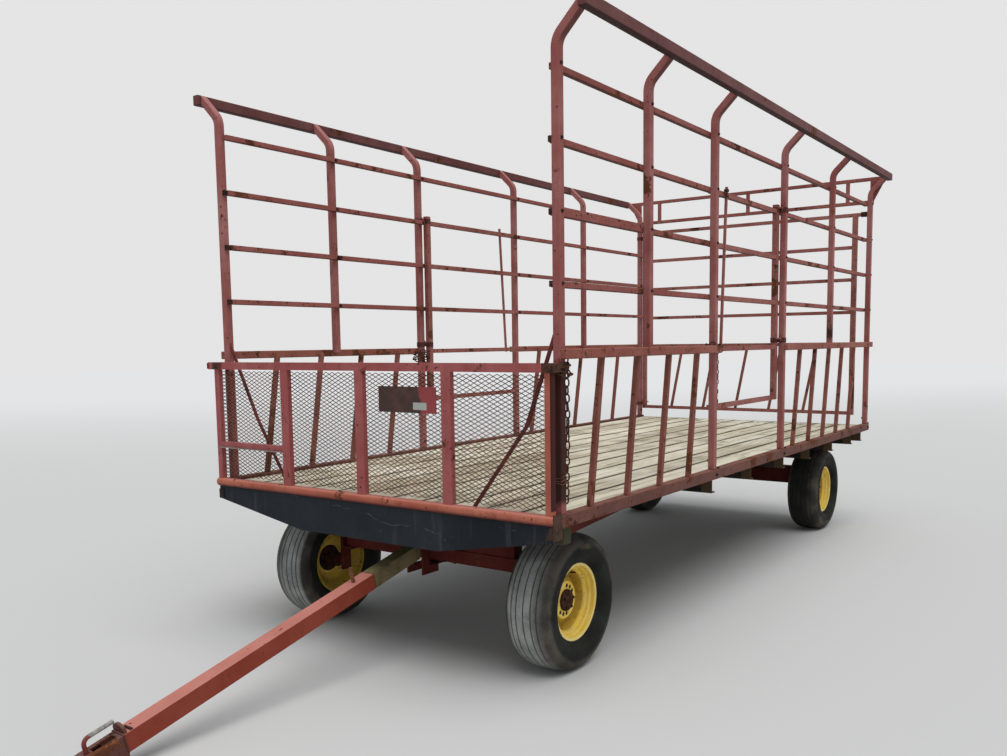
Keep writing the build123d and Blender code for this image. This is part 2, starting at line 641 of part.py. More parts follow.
# Hitch clevis: a box open at its tip, with a slot in its top and a plug in the end of the tube.
# Its underside meets the ground at the tip.
CLEVIS_HALF = 42.0
CLEVIS_WALL = 9.0
CLEVIS_MOUTH = 150.0      # depth of the open end
SLOT = (20.0, 125.0)      # behind the end of the tube
SLOT_HALF = 17.0
PLUG = 60.0
HITCH_PIN_AT = CLEVIS_TIP - 78.0
HITCH_PIN_R = 11.0
HITCH_PIN_TOP = 112.0
HANDLE = 140.0
HANDLE_HALF = 8.0
clevis_low = -(HINGE_Z - CLEVIS_TIP * sin(slope)) / cos(slope)
mouth_half = CLEVIS_HALF - CLEVIS_WALL
with BuildPart(tongue_plane) as hitch_clevis:
    block((TUBE_END, CLEVIS_TIP), (-CLEVIS_HALF, CLEVIS_HALF), (clevis_low, CLEVIS_TOP))
    block((TUBE_END - PLUG, TUBE_END), (-inside + GAP, inside - GAP), (-inside + GAP, inside - GAP))
    mouth_z = (clevis_low + CLEVIS_WALL, CLEVIS_TOP - CLEVIS_WALL)
    mouth = (CLEVIS_TIP - CLEVIS_MOUTH, CLEVIS_TIP + 1)
    block(mouth, (-mouth_half, mouth_half), mouth_z, Mode.SUBTRACT)
    slot = (TUBE_END + SLOT[0], TUBE_END + SLOT[1])
    block(slot, (-SLOT_HALF, SLOT_HALF), (mouth_z[0], CLEVIS_TOP + 1), Mode.SUBTRACT)
    bore = (clevis_low + CLEVIS_WALL / 2, CLEVIS_TOP + 1)
    upright(HITCH_PIN_AT, 0, bore, HITCH_PIN_R + GAP, Mode.SUBTRACT)
save(hitch_clevis, "hitch_clevis")

with BuildPart(tongue_plane) as hitch_pin:
    upright(HITCH_PIN_AT, 0, (clevis_low + CLEVIS_WALL / 2, HITCH_PIN_TOP), HITCH_PIN_R)
    handle_z = (HITCH_PIN_TOP - 2 * HANDLE_HALF, HITCH_PIN_TOP)
    block((HITCH_PIN_AT - HANDLE, HITCH_PIN_AT), (-HANDLE_HALF, HANDLE_HALF), handle_z)
save(hitch_pin, "hitch_pin")

# Wheels: tyre, rim and hub drawn as rings about the axle line
FLANGE_R = RIM_SEAT_R + 17.5
FLANGE_IN = 91.5          # inner face of a rim flange from the middle of the wheel
tyre_rise = TYRE_R - FLANGE_R
tyre_half = TYRE_W / 2
TYRE_SIDE = (
    (FLANGE_IN, RIM_SEAT_R), (FLANGE_IN, FLANGE_R), (tyre_half - 4.0, FLANGE_R + 0.23 * tyre_rise),
    (tyre_half, FLANGE_R + 0.47 * tyre_rise), (tyre_half - 7.0, TYRE_R - 30.0),
    (tyre_half - 27.0, TYRE_R - 6.0),
)
TYRE_RING = [(-a, r) for a, r in TYRE_SIDE] + [(0.0, TYRE_R)] + list(TYRE_SIDE[::-1])
seat = RIM_SEAT_R - GAP
DISC = (20.0, 28.0)
HUB_R = 60.0
LIP = FLANGE_R - 1.0       # outer edge of the rim
WELL = RIM_SEAT_R - 32.5   # the drop in the middle of the rim
RIM_IN = RIM_SEAT_R - 7.5  # inner face of the rim beside its flanges
WELL_IN = WELL - 6.0
RIM_RING = (
    (-98.0, LIP), (-FLANGE_IN - GAP, LIP), (-FLANGE_IN - GAP, seat), (-66.0, seat),
    (-45.0, WELL), (35.0, WELL), (56.0, seat), (FLANGE_IN + GAP, seat),
    (FLANGE_IN + GAP, LIP), (98.0, LIP),
    (98.0, RIM_IN), (60.0, RIM_IN), (40.0, WELL_IN), (DISC[1], WELL_IN), (DISC[1], HUB_R),
    (DISC[0], HUB_R), (DISC[0], WELL_IN), (-48.0, WELL_IN), (-70.0, RIM_IN), (-98.0, RIM_IN),
)
HUB_BORE = SPINDLE_R + RUNNING_FIT
HUB_RING = (
    (-80.0, HUB_BORE), (-80.0, 45.0), (DISC[0] - 10.0, 48.0), (DISC[0] - 10.0, 85.0), (DISC[0], 85.0),
    (DISC[0], HUB_R - GAP), (40.0, HUB_R - GAP), (47.0, 50.0), (52.0, 30.0), (52.0, 0.0),
    (34.0, 0.0), (34.0, HUB_BORE),
)
WHEELS = (
    {"name": "front_left", "x": front_axle_x, "s": 1.0},
    {"name": "front_right", "x": front_axle_x, "s": -1.0},
    {"name": "rear_left", "x": rear_axle_x, "s": 1.0},
    {"name": "rear_right", "x": rear_axle_x, "s": -1.0},
)


def ring(profile, wheel):
    # Turn a profile of (outward offset, radius) points about the wheel's axle line
    middle = (wheel["x"], wheel["s"] * TRACK_HALF, spindle_z)
    with BuildPart() as turned:
        with BuildSketch(Plane(origin=middle, x_dir=(0, 1, 0), z_dir=(1, 0, 0))):
            with BuildLine():
                Polyline(*[(wheel["s"] * a, r) for a, r in profile], close=True)
            make_face()
        revolve(axis=Axis(middle, (0, 1, 0)))
    return turned


for wheel in WHEELS:
    save(ring(TYRE_RING, wheel), f"tyre_{wheel['name']}")
    save(ring(RIM_RING, wheel), f"rim_{wheel['name']}")
    save(ring(HUB_RING, wheel), f"hub_{wheel['name']}")

# Side gates: a stile beside the hinge post, five rails, a lock rod and two hinge straps
LOCK_ROD = 16.0
ROD_TOP_IN = 225.0        # ends of the lock rod from the free end of the gate
ROD_LOW_IN = 150.0
STILE_PAST = 30.0
STRAP_HALF = 8.0
GATES = (
    {"name": "left", "s": 1.0, "post": DOOR_REAR, "other": DOOR_FRONT},
    {"name": "right", "s": -1.0, "post": DOOR_FRONT, "other": DOOR_REAR},
)
for gate in GATES:
    s = gate["s"]
    hx = FRONT_X - gate["post"]
    d = 1.0 if gate["other"] < gate["post"] else -1.0
    near = hx + d * STILE_OFF
    far = FRONT_X - gate["other"] - d * (POST / 2 + GATE_GAP)
    leaf_y = RACK_HALF_WIDTH - GATE_IN
    stile_out = leaf_y + GATE_STILE / 2
    ys = sorted((s * (leaf_y - GATE_STILE / 2), s * stile_out))
    rail_y = sorted((s * (leaf_y - BAR_T / 2), s * (leaf_y + BAR_T / 2)))
    pin_x, pin_y = hx + d * SIDE_PIN_OFF, s * (RACK_HALF_WIDTH - SIDE_PIN_IN)
    with BuildPart() as side_gate:
        stile_z = (GATE_RAIL_Z[-1] - BAR / 2, SIDE_HINGE_Z[0] + STILE_PAST)
        block(sorted((near, near + d * GATE_STILE)), ys, stile_z)
        for z in GATE_RAIL_Z:
            block(sorted((near + d * GATE_STILE / 2, far)), rail_y, (z - BAR / 2, z + BAR / 2))
        rod_y = s * (leaf_y + BAR_T / 2)
        rod_top = (far - d * ROD_TOP_IN, rod_y, GATE_RAIL_Z[0] + 50.0)
        rod_low = (far - d * ROD_LOW_IN, rod_y, GATE_RAIL_Z[3] - 20.0)
        strut(rod_top, rod_low, LOCK_ROD)
        for z in SIDE_HINGE_Z:
            zs = (z, z + STRAP)
            upright(pin_x, pin_y, zs, SIDE_EYE_R)
            strap_x = sorted((pin_x, near + d * GATE_STILE))
            block(strap_x, sorted((s * stile_out, s * (stile_out + STRAP))), zs)
            upright(pin_x, pin_y, (z - 1, z + STRAP + 1), SIDE_PIN_R + RUNNING_FIT, Mode.SUBTRACT)
    save(side_gate, f"side_gate_{gate['name']}")

# Rear gate, hinged at the right rear post
rear_pin = (rear_post_x - HINGE_OUT, -RACK_HALF_WIDTH)
gate_mid_x = rear_post_x - REAR_GATE_BACK
gate_x = (gate_mid_x - BAR_T / 2, gate_mid_x + BAR_T / 2)
stile_x = (gate_mid_x - GATE_STILE / 2, gate_mid_x + GATE_STILE / 2)
gate_y0 = -post_in + GATE_GAP
with BuildPart() as rear_gate:
    stile_z = (REAR_RAIL_Z[-1] - BAR / 2, REAR_RAIL_Z[0] + BAR / 2)
    block(stile_x, (gate_y0, gate_y0 + GATE_STILE), stile_z)
    block(stile_x, FREE_STILE, stile_z)
    for z in REAR_RAIL_Z:
        end = post_in - GATE_GAP if z == REAR_RAIL_Z[0] else FREE_STILE[0]
        block(gate_x, (gate_y0 + GATE_STILE / 2, end), (z - BAR / 2, z + BAR / 2))
    for z in REAR_HINGE_Z:
        zs = (z, z + STRAP)
        upright(*rear_pin, zs, HINGE_EYE_R)
        strap_x = (rear_pin[0] - STRAP_HALF, rear_pin[0] + STRAP_HALF)
        block(strap_x, (rear_pin[1], gate_y0 + GATE_STILE), zs)
        block((rear_pin[0], gate_mid_x), (gate_y0 + STRAP, gate_y0 + GATE_STILE), zs)
        upright(*rear_pin, (z - 1, z + STRAP + 1), HINGE_R + RUNNING_FIT, Mode.SUBTRACT)
save(rear_gate, "rear_gate")

with BuildPart() as rear_gate_slats:
    low, high = REAR_RAIL_Z[-1] + BAR / 2, REAR_RAIL_Z[-2] - BAR / 2
    half = REAR_SLAT / 2
    for y in REAR_SLATS:
        foot = y - REAR_SLAT_LEAN
        with BuildSketch(Plane.YZ.offset(gate_mid_x - half)):
            with BuildLine():
                Polyline(
                    (foot - half, low), (foot + half, low), (y + half, high), (y - half, high),
                    close=True,
                )
            make_face()
        extrude(amount=REAR_SLAT)
save(rear_gate_slats, "rear_gate_slats")


def hinge_pin(x, y, z, radius, collar):
    # A collar under the strap and the pin that stands in it
    upright(x, y, (z - HINGE_LUG - EYE_GAP, z - EYE_GAP), collar)
    upright(x, y, (z - HINGE_LUG - EYE_GAP, z + 2 * STRAP), radius)


# Hinge lugs and pins on the posts
with BuildPart() as gate_hinges:
    for gate in GATES:
        d = 1.0 if gate["other"] < gate["post"] else -1.0
        post_face = FRONT_X - gate["post"] + d * POST / 2
        x, y = post_face + d * (SIDE_PIN_OFF - POST / 2), gate["s"] * (RACK_HALF_WIDTH - SIDE_PIN_IN)
        for z in SIDE_HINGE_Z:
            hinge_pin(x, y, z, SIDE_PIN_R, SIDE_EYE_R)
            lug_z = (z - STRAP - EYE_GAP, z - EYE_GAP)
            block(sorted((post_face, x)), (y - SIDE_EYE_R, y + SIDE_EYE_R), lug_z)
    for z in REAR_HINGE_Z:
        hinge_pin(*rear_pin, z, HINGE_R, HINGE_LUG_R)
        lug_z = (z - STRAP - EYE_GAP, z - EYE_GAP)
        lug_y = (rear_pin[1] - HINGE_LUG_R, rear_pin[1] + HINGE_LUG_R)
        block((rear_pin[0], rear_post_x - POST / 2), lug_y, lug_z)
save(gate_hinges, "gate_hinges")
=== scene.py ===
# %% [markdown]
# # A hay wagon with a tall steel rack
# The wagon is a plank deck on four wheels, with a rack of painted square tube around it and a
# tongue that rests on the ground. The construction model comes in as a fixed frame: each part is
# already in its real place and size, in metres, with +X forward, +Y to the left and +Z up. This
# lesson gives the parts their worn edges, their finishes and their small hardware.

# %% Load the frame
import json
from math import cos, pi, radians, sin

import bmesh
import bpy
import numpy as np
from mathutils import Matrix, Vector


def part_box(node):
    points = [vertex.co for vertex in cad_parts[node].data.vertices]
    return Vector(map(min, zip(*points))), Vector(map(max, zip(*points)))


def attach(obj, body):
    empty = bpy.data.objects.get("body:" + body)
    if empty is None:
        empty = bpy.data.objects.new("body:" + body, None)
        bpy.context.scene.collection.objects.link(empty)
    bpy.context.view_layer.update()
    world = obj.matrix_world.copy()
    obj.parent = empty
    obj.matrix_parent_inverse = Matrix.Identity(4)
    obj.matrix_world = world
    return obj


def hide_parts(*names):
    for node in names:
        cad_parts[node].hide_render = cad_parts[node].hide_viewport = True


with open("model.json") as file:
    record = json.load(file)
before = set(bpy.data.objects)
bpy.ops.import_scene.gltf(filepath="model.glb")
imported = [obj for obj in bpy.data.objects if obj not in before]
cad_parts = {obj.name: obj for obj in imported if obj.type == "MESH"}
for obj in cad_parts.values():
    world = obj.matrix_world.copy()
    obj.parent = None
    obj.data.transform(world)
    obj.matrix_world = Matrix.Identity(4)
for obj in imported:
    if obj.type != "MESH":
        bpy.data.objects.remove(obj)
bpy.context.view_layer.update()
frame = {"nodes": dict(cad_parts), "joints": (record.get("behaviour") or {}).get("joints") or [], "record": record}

# %% [markdown]
# ## Sizes read from the frame
# Everything that is added sits on a part of the frame, so its place is worked out from the boxes
# of those parts. Only small hardware has sizes of its own.

# %% Sizes read from the frame
MM = 0.001


def limits(node):
    """The lowest and highest corners of a part, as two arrays."""
    low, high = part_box(node)
    return np.array(low), np.array(high)


posts_low, posts_high = limits("rack_posts")
planks_low, planks_high = limits("deck_planks")
edge_low, edge_high = limits("deck_edge_rails")
plate_low, plate_high = limits("front_plate")
panel_low, panel_high = limits("front_panel_frame")
mesh_low, mesh_high = limits("front_panel_mesh")
sign_low, sign_high = limits("sign_plate")
mid_low, mid_high = limits("mid_rails")

POST = 44 * MM
HALF_POST = POST / 2
rack_length = (posts_high[0] - posts_low[0]) - POST
front_post_x = posts_high[0] - HALF_POST
rear_post_x = posts_low[0] + HALF_POST
post_y = mid_high[1] - 52 * MM           # middle of a post: the mid rail stands outside it
deck_top = planks_high[2]
POST_SHARES = (0.0, 0.1656, 0.3291, 0.5623, 0.7796, 1.0)     # how far along the rack each post is
post_x = [front_post_x - share * rack_length for share in POST_SHARES]
door_front_x, door_rear_x, fifth_post_x = post_x[2:5]
print("corner posts at x", round(front_post_x, 3), round(rear_post_x, 3), "y", round(post_y, 3))

# %% [markdown]
# ## Shader arithmetic
# A finish on old steel is a stack of masks: where the sun has bleached the paint, where it has
# flaked, where rust has bled. Node trees for that are long to write by hand, so a small class
# stands for one output socket and turns Python's own operators into Math nodes. Colours go
# through a Mix node instead, because a Math node would turn them grey.

# %% Sockets that can be added, multiplied and mixed
def operator(operation, swapped=False):
    """A method that adds one Math node; it is swapped where the number stands on the left."""
    def method(self, other=0.0):
        first, second = (other, self) if swapped else (self, other)
        return self.finish.node("ShaderNodeMath", {"operation": operation}, {0: first, 1: second})
    return method


class Value:
    """One output socket of a finish, with arithmetic that adds the Math nodes it needs."""

    def __init__(self, finish, socket):
        self.finish, self.socket = finish, socket

    __add__, __radd__ = operator("ADD"), operator("ADD", swapped=True)
    __sub__, __rsub__ = operator("SUBTRACT"), operator("SUBTRACT", swapped=True)
    __mul__, __rmul__ = operator("MULTIPLY"), operator("MULTIPLY", swapped=True)
    __truediv__, __abs__ = operator("DIVIDE"), operator("ABSOLUTE")
    floor, most = operator("FLOOR"), operator("MAXIMUM")

    def rise(self, low, high):
        """0 below low, 1 above high, and a smooth climb between them; it falls if low > high."""
        falls = float(low > high)
        ends = {"From Min": min(low, high), "From Max": max(low, high)}
        levels = {"To Min": falls, "To Max": 1.0 - falls}
        settings = {"interpolation_type": "SMOOTHSTEP"}
        return self.finish.node("ShaderNodeMapRange", settings, {"Value": self, **ends, **levels})

    def band(self, middle, half, soft):
        """1 within half of the middle, falling to 0 over soft."""
        return abs(self - middle).rise(half + soft, half)


class Finish:
    """A material and the patterns that its colours are made from."""

    def __init__(self, name):
        self.material = bpy.data.materials.new(name)
        self.material.use_nodes = True
        self.tree = self.material.node_tree
        self.shader = self.tree.nodes["Principled BSDF"]
        self.place = self.node("ShaderNodeTexCoord", output="Object")
        axes = self.node("ShaderNodeSeparateXYZ", sockets={0: self.place}).socket.node.outputs
        self.x, self.y, self.z = (Value(self, s) for s in axes)
        facing = self.node("ShaderNodeNewGeometry", output="Normal")
        facing = self.node("ShaderNodeSeparateXYZ", sockets={0: facing}).socket.node.outputs
        self.face_z = Value(self, facing["Z"])

    def fill(self, made, sockets):
        """Links a node's sockets to other nodes, or sets them to plain values."""
        for key, value in sockets.items():
            if isinstance(value, Value):
                self.tree.links.new(value.socket, made.inputs[key])
            else:
                made.inputs[key].default_value = value

    def node(self, kind, settings=None, sockets=None, output=0):
        """Adds a node: first its settings, then the values or links of its sockets."""
        made = self.tree.nodes.new(kind)
        for key, setting in (settings or {}).items():
            setattr(made, key, setting)
        self.fill(made, sockets or {})
        return Value(self, made.outputs[output])

    def attribute(self, name):
        """A number that the mesh carries at each of its points."""
        return self.node("ShaderNodeAttribute", {"attribute_name": name}, output="Fac")

    def stretched(self, x, y, z):
        """The object's own coordinates, stretched, so that a pattern runs along one direction."""
        sockets = {0: self.place, 1: (x, y, z)}
        return self.node("ShaderNodeVectorMath", {"operation": "MULTIPLY"}, sockets)

    def noise(self, scale, detail=4.0, rough=0.55, along=None, bend=0.0):
        """A cloudy pattern from 0 to 1; scale is in blotches a metre."""
        sockets = {
            "Vector": along or self.place, "Scale": scale, "Detail": detail,
            "Roughness": rough, "Distortion": bend,
        }
        return self.node("ShaderNodeTexNoise", None, sockets)

    def cells(self, scale):
        """Distance to the middle of the nearest of many scattered cells."""
        return self.node("ShaderNodeTexVoronoi", None, {"Vector": self.place, "Scale": scale})

    def mix(self, mask, first, second):
        """The first colour where the mask is 0 and the second where it is 1."""
        first, second = (c if isinstance(c, Value) else (*c, 1.0) for c in (first, second))
        sockets = {0: mask, 6: first, 7: second}
        return self.node("ShaderNodeMix", {"data_type": "RGBA"}, sockets, output=2)

    def layers(self, colour, *coats):
        """A colour with coats laid over it in turn, each given by its mask and its colour."""
        for mask, coat in coats:
            colour = self.mix(mask, colour, coat)
        return colour

    def done(self, colour, rough=0.6, bump=None, depth=0.001, metallic=0.0, specular=0.35):
        """Plugs the patterns into the surface. Depth is the relief's height in metres."""
        sockets = {"Base Color": colour, "Roughness": rough, "Metallic": metallic}
        if bump is not None:
            heights = {"Strength": 1.0, "Distance": depth, "Height": bump}
            sockets["Normal"] = self.node("ShaderNodeBump", None, heights)
        self.fill(self.shader, {**sockets, "Specular IOR Level": specular})
        return self.material


# %% [markdown]
# ## Old paint
# The rack was painted once, in the open, and has stood in the weather since. Paint on the faces
# that look up is bleached and dusted, with painted light that makes them lighter, undersides are
# darkened with painted shade, flakes have come off in small chips with rust in them, and on the
# lower parts the rust has spread into larger patches. One function makes that stack, so each
# painted part is a short call with its own colours and amounts.

# %% Old paint on steel
RUST_DARK = (0.05, 0.02, 0.013)
RUST = (0.13, 0.045, 0.022)
RUST_ORANGE = (0.3, 0.105, 0.04)
DARK_MAROON = (0.06, 0.018, 0.017)
DARK_BROWN = (0.046, 0.024, 0.018)
PAINT_ROUGH, RUST_ROUGH = 0.6, 0.9


def rust_colour(finish):
    """Dark rust, brown rust and bright rust, mixed by two sizes of blotches."""
    deep = finish.mix(finish.noise(9.0, 5.0).rise(0.35, 0.6), RUST_DARK, RUST)
    return finish.mix(finish.noise(38.0, 3.0).rise(0.56, 0.76), deep, RUST_ORANGE)


def old_paint(name, paint, bleached, chips=0.64, patches=0.62, dark_places=(), underside_shade=0.75,
              top_rust=0.0, grime=0.35, top=None, shine=0.12, second=None):
    """Paint with bleaching, grime, chips and rust, and painted light and shade. Chips and patches
    are the noise level above which they begin: lower is rustier. Each dark place is a function of
    the finish that gives a mask where the rust has taken over, on the end bar's outer edge with
    painted shade as well. Top is the colour of the faces that look up, dust with painted light, and
    the faces that look down get painted shade by the underside amount. Second has the colours of a
    part that was painted at another time, and a mask for where it is."""
    finish = Finish(name)
    broad = finish.noise(1.3, 3.0)
    cloudy = finish.noise(6.0, 5.0, 0.6)
    fine = finish.noise(70.0, 3.0, 0.6)
    dull = tuple(0.42 * c + 0.006 for c in paint)
    shaded = tuple(0.22 * c + 0.004 for c in paint)
    top_dust_and_light = top or tuple(0.95 * c + 0.03 for c in bleached)
    if second:
        there = second["where"](finish)
        paint = finish.mix(there, paint, second["paint"])
        bleached = finish.mix(there, bleached, second["bleached"])
        top_dust_and_light = finish.mix(there, top_dust_and_light, second["top"])
    streaks = finish.noise(16.0, 4.0, 0.6, along=finish.stretched(1.0, 1.0, 0.12))
    up, under = finish.face_z.rise(0.35, 0.9), finish.face_z.rise(-0.15, -0.8)
    spread = finish.noise(4.6, 6.0, 0.62) + fine * 0.1
    patch = spread.rise(patches, patches + 0.045)
    chip = (finish.noise(42.0, 4.0, 0.6) + cloudy * 0.12).rise(chips + 0.06, chips + 0.09)
    worn = patch.most(chip)
    if top_rust:
        worn = worn.most(up * top_rust * (spread + 0.1).rise(0.45, 0.62))
    speckle = finish.noise(110.0, 3.0, 0.7).rise(0.6, 0.72) * cloudy.rise(0.42, 0.62)
    colour = finish.layers(
        finish.mix((broad * 0.5 + cloudy * 0.5).rise(0.36, 0.64), paint, bleached),
        (streaks.rise(0.48, 0.8) * grime, dull),
        # faces that look up: dust, and painted light that makes them lighter
        (up * (0.45 + cloudy * 0.5), top_dust_and_light),
        # faces that look down: painted shade
        (under * underside_shade, shaded),
        (worn, rust_colour(finish)),
        (speckle * 0.6, RUST),
    )
    for dark_place in dark_places:
        bare = (dark_place(finish) + (cloudy - 0.5) * 0.9 + (fine - 0.5) * 0.3).rise(0.42, 0.62)
        # dark rust and old paint; on the end bar's outer edge this dark is also painted shade
        old_coat_and_shade = finish.mix(streaks.rise(0.4, 0.66), DARK_MAROON, DARK_BROWN)
        colour = finish.mix(bare, colour, old_coat_and_shade)
        worn = worn.most(bare * 0.6)
    relief = fine * 0.35 + worn * (finish.noise(160.0, 3.0) * 1.6 - 1.0)
    roughness = PAINT_ROUGH + worn * (RUST_ROUGH - PAINT_ROUGH) + (cloudy - 0.5) * 0.15
    return finish.done(colour, roughness, relief, 0.0006, specular=shine)


def near_post(x, low, high, strength=1.0, fade=0.12):
    """A dark place on a post of the near side between two heights, which fades out above."""
    def mask(finish):
        beside = finish.x.band(x, 0.09, 0.02) * finish.y.rise(0.9, 1.0)
        above = finish.z.rise(high + fade, high - fade)
        return beside * finish.z.rise(low - 0.1, low + 0.1) * above * strength
    return mask


CRIMSON = (0.285, 0.086, 0.078)
CRIMSON_PALE = (0.39, 0.16, 0.148)
rack_paint = old_paint(
    "Rack crimson", CRIMSON, CRIMSON_PALE, chips=0.655, patches=0.68,
    dark_places=(
        near_post(front_post_x, deck_top + 0.07, mid_low[2] - 0.02),
        near_post(fifth_post_x, mid_low[2] + 0.05, mid_low[2] + 0.4, strength=0.62, fade=0.45),
    ),
    second={
        "where": near_post(front_post_x, 0.0, deck_top + 0.02),
        "paint": (0.165, 0.02, 0.025), "bleached": (0.225, 0.036, 0.045), "top": CRIMSON_PALE,
    },
)
brace_paint = old_paint(
    "Brace dark crimson", (0.15, 0.03, 0.032), (0.27, 0.062, 0.062), chips=0.62, patches=0.66,
)
rail_paint = old_paint(
    "Rail red-brown", (0.265, 0.076, 0.064), (0.35, 0.124, 0.106), chips=0.62, patches=0.63,
    top_rust=0.85, underside_shade=0.9,
)
top_rail_paint = old_paint(
    "Top rail maroon", (0.118, 0.04, 0.038), (0.175, 0.074, 0.07), chips=0.63, patches=0.64,
    top_rust=0.8, underside_shade=0.92,
)
mid_rail_paint = old_paint(
    "Mid rail orange-red", (0.262, 0.08, 0.058), (0.345, 0.128, 0.098), chips=0.61, patches=0.625,
)
gate_paint = old_paint(
    "Gate rust-brown", (0.255, 0.082, 0.068), (0.37, 0.145, 0.125), chips=0.62, patches=0.635,
    top_rust=0.7, underside_shade=0.9,
)
slat_paint = old_paint(
    "Slat brown-red", (0.19, 0.066, 0.048), (0.29, 0.11, 0.085), chips=0.61, patches=0.62,
)
edge_paint = old_paint(
    "Deck edge red", (0.118, 0.045, 0.035), (0.172, 0.072, 0.056), chips=0.62, patches=0.615,
    top_rust=0.5, top=(0.3, 0.13, 0.1),
)
TUBE_R = 27 * MM            # the round tube at the panel's foot
tube_top = panel_low[2] + 2 * TUBE_R
end_bar_edge = post_y + 31 * MM


def end_bar_rust_and_shade(finish):
    """The near end bar's outer edge above the tube: dark rust, with painted shade that stands for its shaded outer
    face.
    """
    outer = finish.y.rise(end_bar_edge - 0.021, end_bar_edge - 0.019)
    return outer * finish.z.rise(tube_top, tube_top + 0.04)


def tube_and_end_bar(finish):
    """The bottom tube and the near end bar, which have a brighter, more orange paint."""
    end_bar = finish.y.rise(end_bar_edge - 0.064, end_bar_edge - 0.06)
    return finish.z.rise(tube_top, tube_top - 0.006).most(end_bar)


panel_paint = old_paint(
    "Front panel red", (0.34, 0.086, 0.084), (0.42, 0.13, 0.13), chips=0.645, patches=0.665,
    # the end bar's outer edge: dark rust, and painted shade for its shaded outer face
    dark_places=(end_bar_rust_and_shade,),
    second={
        "where": tube_and_end_bar, "paint": (0.37, 0.096, 0.062), "bleached": (0.5, 0.165, 0.11),
        "top": (0.66, 0.27, 0.19),
    },
)
axle_paint = old_paint(
    "Axle deep red", (0.08, 0.013, 0.01), (0.13, 0.026, 0.02), chips=0.66, patches=0.67,
    grime=0.5, shine=0.05,
)
tongue_paint = old_paint(
    "Tongue orange-red", (0.24, 0.04, 0.024), (0.295, 0.062, 0.038), chips=0.66, patches=0.68,
    grime=0.2, underside_shade=0.9, top=(0.6, 0.25, 0.205),
)
clevis_paint = old_paint(
    "Clevis brown-red", (0.11, 0.04, 0.032), (0.165, 0.07, 0.058), chips=0.56, patches=0.53,
)
print("painted finishes:", len(bpy.data.materials))

# %% [markdown]
# ## Bare and rusted steel
# Chains, hinge straps, brackets and the mesh have lost their paint or never had any. Rust has no
# gloss, so its roughness is high all over; parts that rub stay darker and a little shinier.

# %% Bare steel finishes
def bare_rust(name, shade, light, rough=0.85, scale=24.0):
    """Rusted steel between a dark shade and a lighter one, with pitting."""
    finish = Finish(name)
    blotch = finish.noise(scale, 5.0, 0.65)
    colour = finish.mix(blotch.rise(0.35, 0.68), shade, light)
    colour = finish.mix(finish.noise(scale * 3.1, 3.0).rise(0.6, 0.78) * 0.7, colour, RUST_ORANGE)
    pits = finish.noise(230.0, 3.0, 0.6)
    return finish.done(colour, rough + (blotch - 0.5) * 0.2, pits, 0.0008, specular=0.12)


chain_rust = bare_rust("Chain rust", (0.04, 0.02, 0.015), (0.115, 0.05, 0.03), scale=34.0)
strap_black = bare_rust("Strap black steel", (0.014, 0.011, 0.011), (0.05, 0.025, 0.02), 0.7)
hinge_maroon = bare_rust("Hinge maroon", (0.06, 0.018, 0.016), (0.14, 0.048, 0.04), 0.7)
mesh_rust = bare_rust("Mesh rust", (0.05, 0.022, 0.016), (0.19, 0.09, 0.066), scale=5.0)
bracket_rust = bare_rust("Bracket rust", (0.05, 0.026, 0.019), (0.11, 0.054, 0.038))
corner_rust = bare_rust("Corner plate rust", (0.055, 0.03, 0.024), (0.09, 0.056, 0.038))
bolt_dark = bare_rust("Bolt dark steel", (0.02, 0.014, 0.013), (0.075, 0.034, 0.026), 0.6)
pin_rust = bare_rust("Pin brown steel", (0.12, 0.05, 0.03), (0.26, 0.12, 0.075), 0.75)


def worn_handle():
    """Steel rubbed bare and grey by hands, with a little brown left in it."""
    finish = Finish("Handle worn steel")
    wear = finish.noise(40.0, 4.0)
    colour = finish.mix(wear.rise(0.4, 0.7), (0.34, 0.33, 0.32), (0.16, 0.11, 0.09))
    return finish.done(colour, 0.45 + wear * 0.2, wear, 0.0004, metallic=0.6)


handle_steel = worn_handle()


def plate_finish():
    """Blue-black paint on the front plate: pale vertical smears, long thin scratches that wander
    across it, and rust flecks that gather at the lower edge."""
    finish = Finish("Front plate blue-black")
    broad = finish.noise(2.2, 4.0)
    smear = finish.noise(14.0, 4.0, 0.6, along=finish.stretched(1.0, 1.0, 0.12))
    lanes = (finish.y * 0.1 + finish.z + finish.noise(2.6, 3.0) * 0.16) * 7.0
    line = abs(lanes - lanes.floor() - 0.5)
    scratch = line.rise(0.02, 0.004) * finish.noise(3.4, 5.0, 0.7).rise(0.54, 0.64)
    spots = (finish.cells(22.0) + finish.noise(120.0, 3.0) * 0.1).rise(0.15, 0.09)
    spots = spots * finish.noise(4.0).rise(0.5, 0.62)
    edge = plate_low[2] + abs(finish.y).rise(0.5, 1.25) * (plate_high[2] - plate_low[2]) * 0.55
    flecks = (finish.noise(60.0, 4.0) + (finish.z - edge).rise(0.02, 0.0) * 0.1).rise(0.68, 0.73)
    colour = finish.layers(
        finish.mix(broad.rise(0.3, 0.7), (0.012, 0.016, 0.021), (0.024, 0.03, 0.038)),
        (smear.rise(0.54, 0.74) * 0.5, (0.075, 0.082, 0.09)),
        (scratch * 0.5, (0.18, 0.195, 0.205)),
        (spots * 0.7, (0.24, 0.225, 0.2)),
        (flecks * 0.8, (0.09, 0.042, 0.03)),
    )
    relief = finish.noise(90.0, 3.0) * 0.4 + finish.noise(7.0, 2.0) * 3.0 - scratch * 0.6
    return finish.done(colour, 0.55 + smear * 0.2, relief, 0.0007, specular=0.12)


plate_paint = plate_finish()

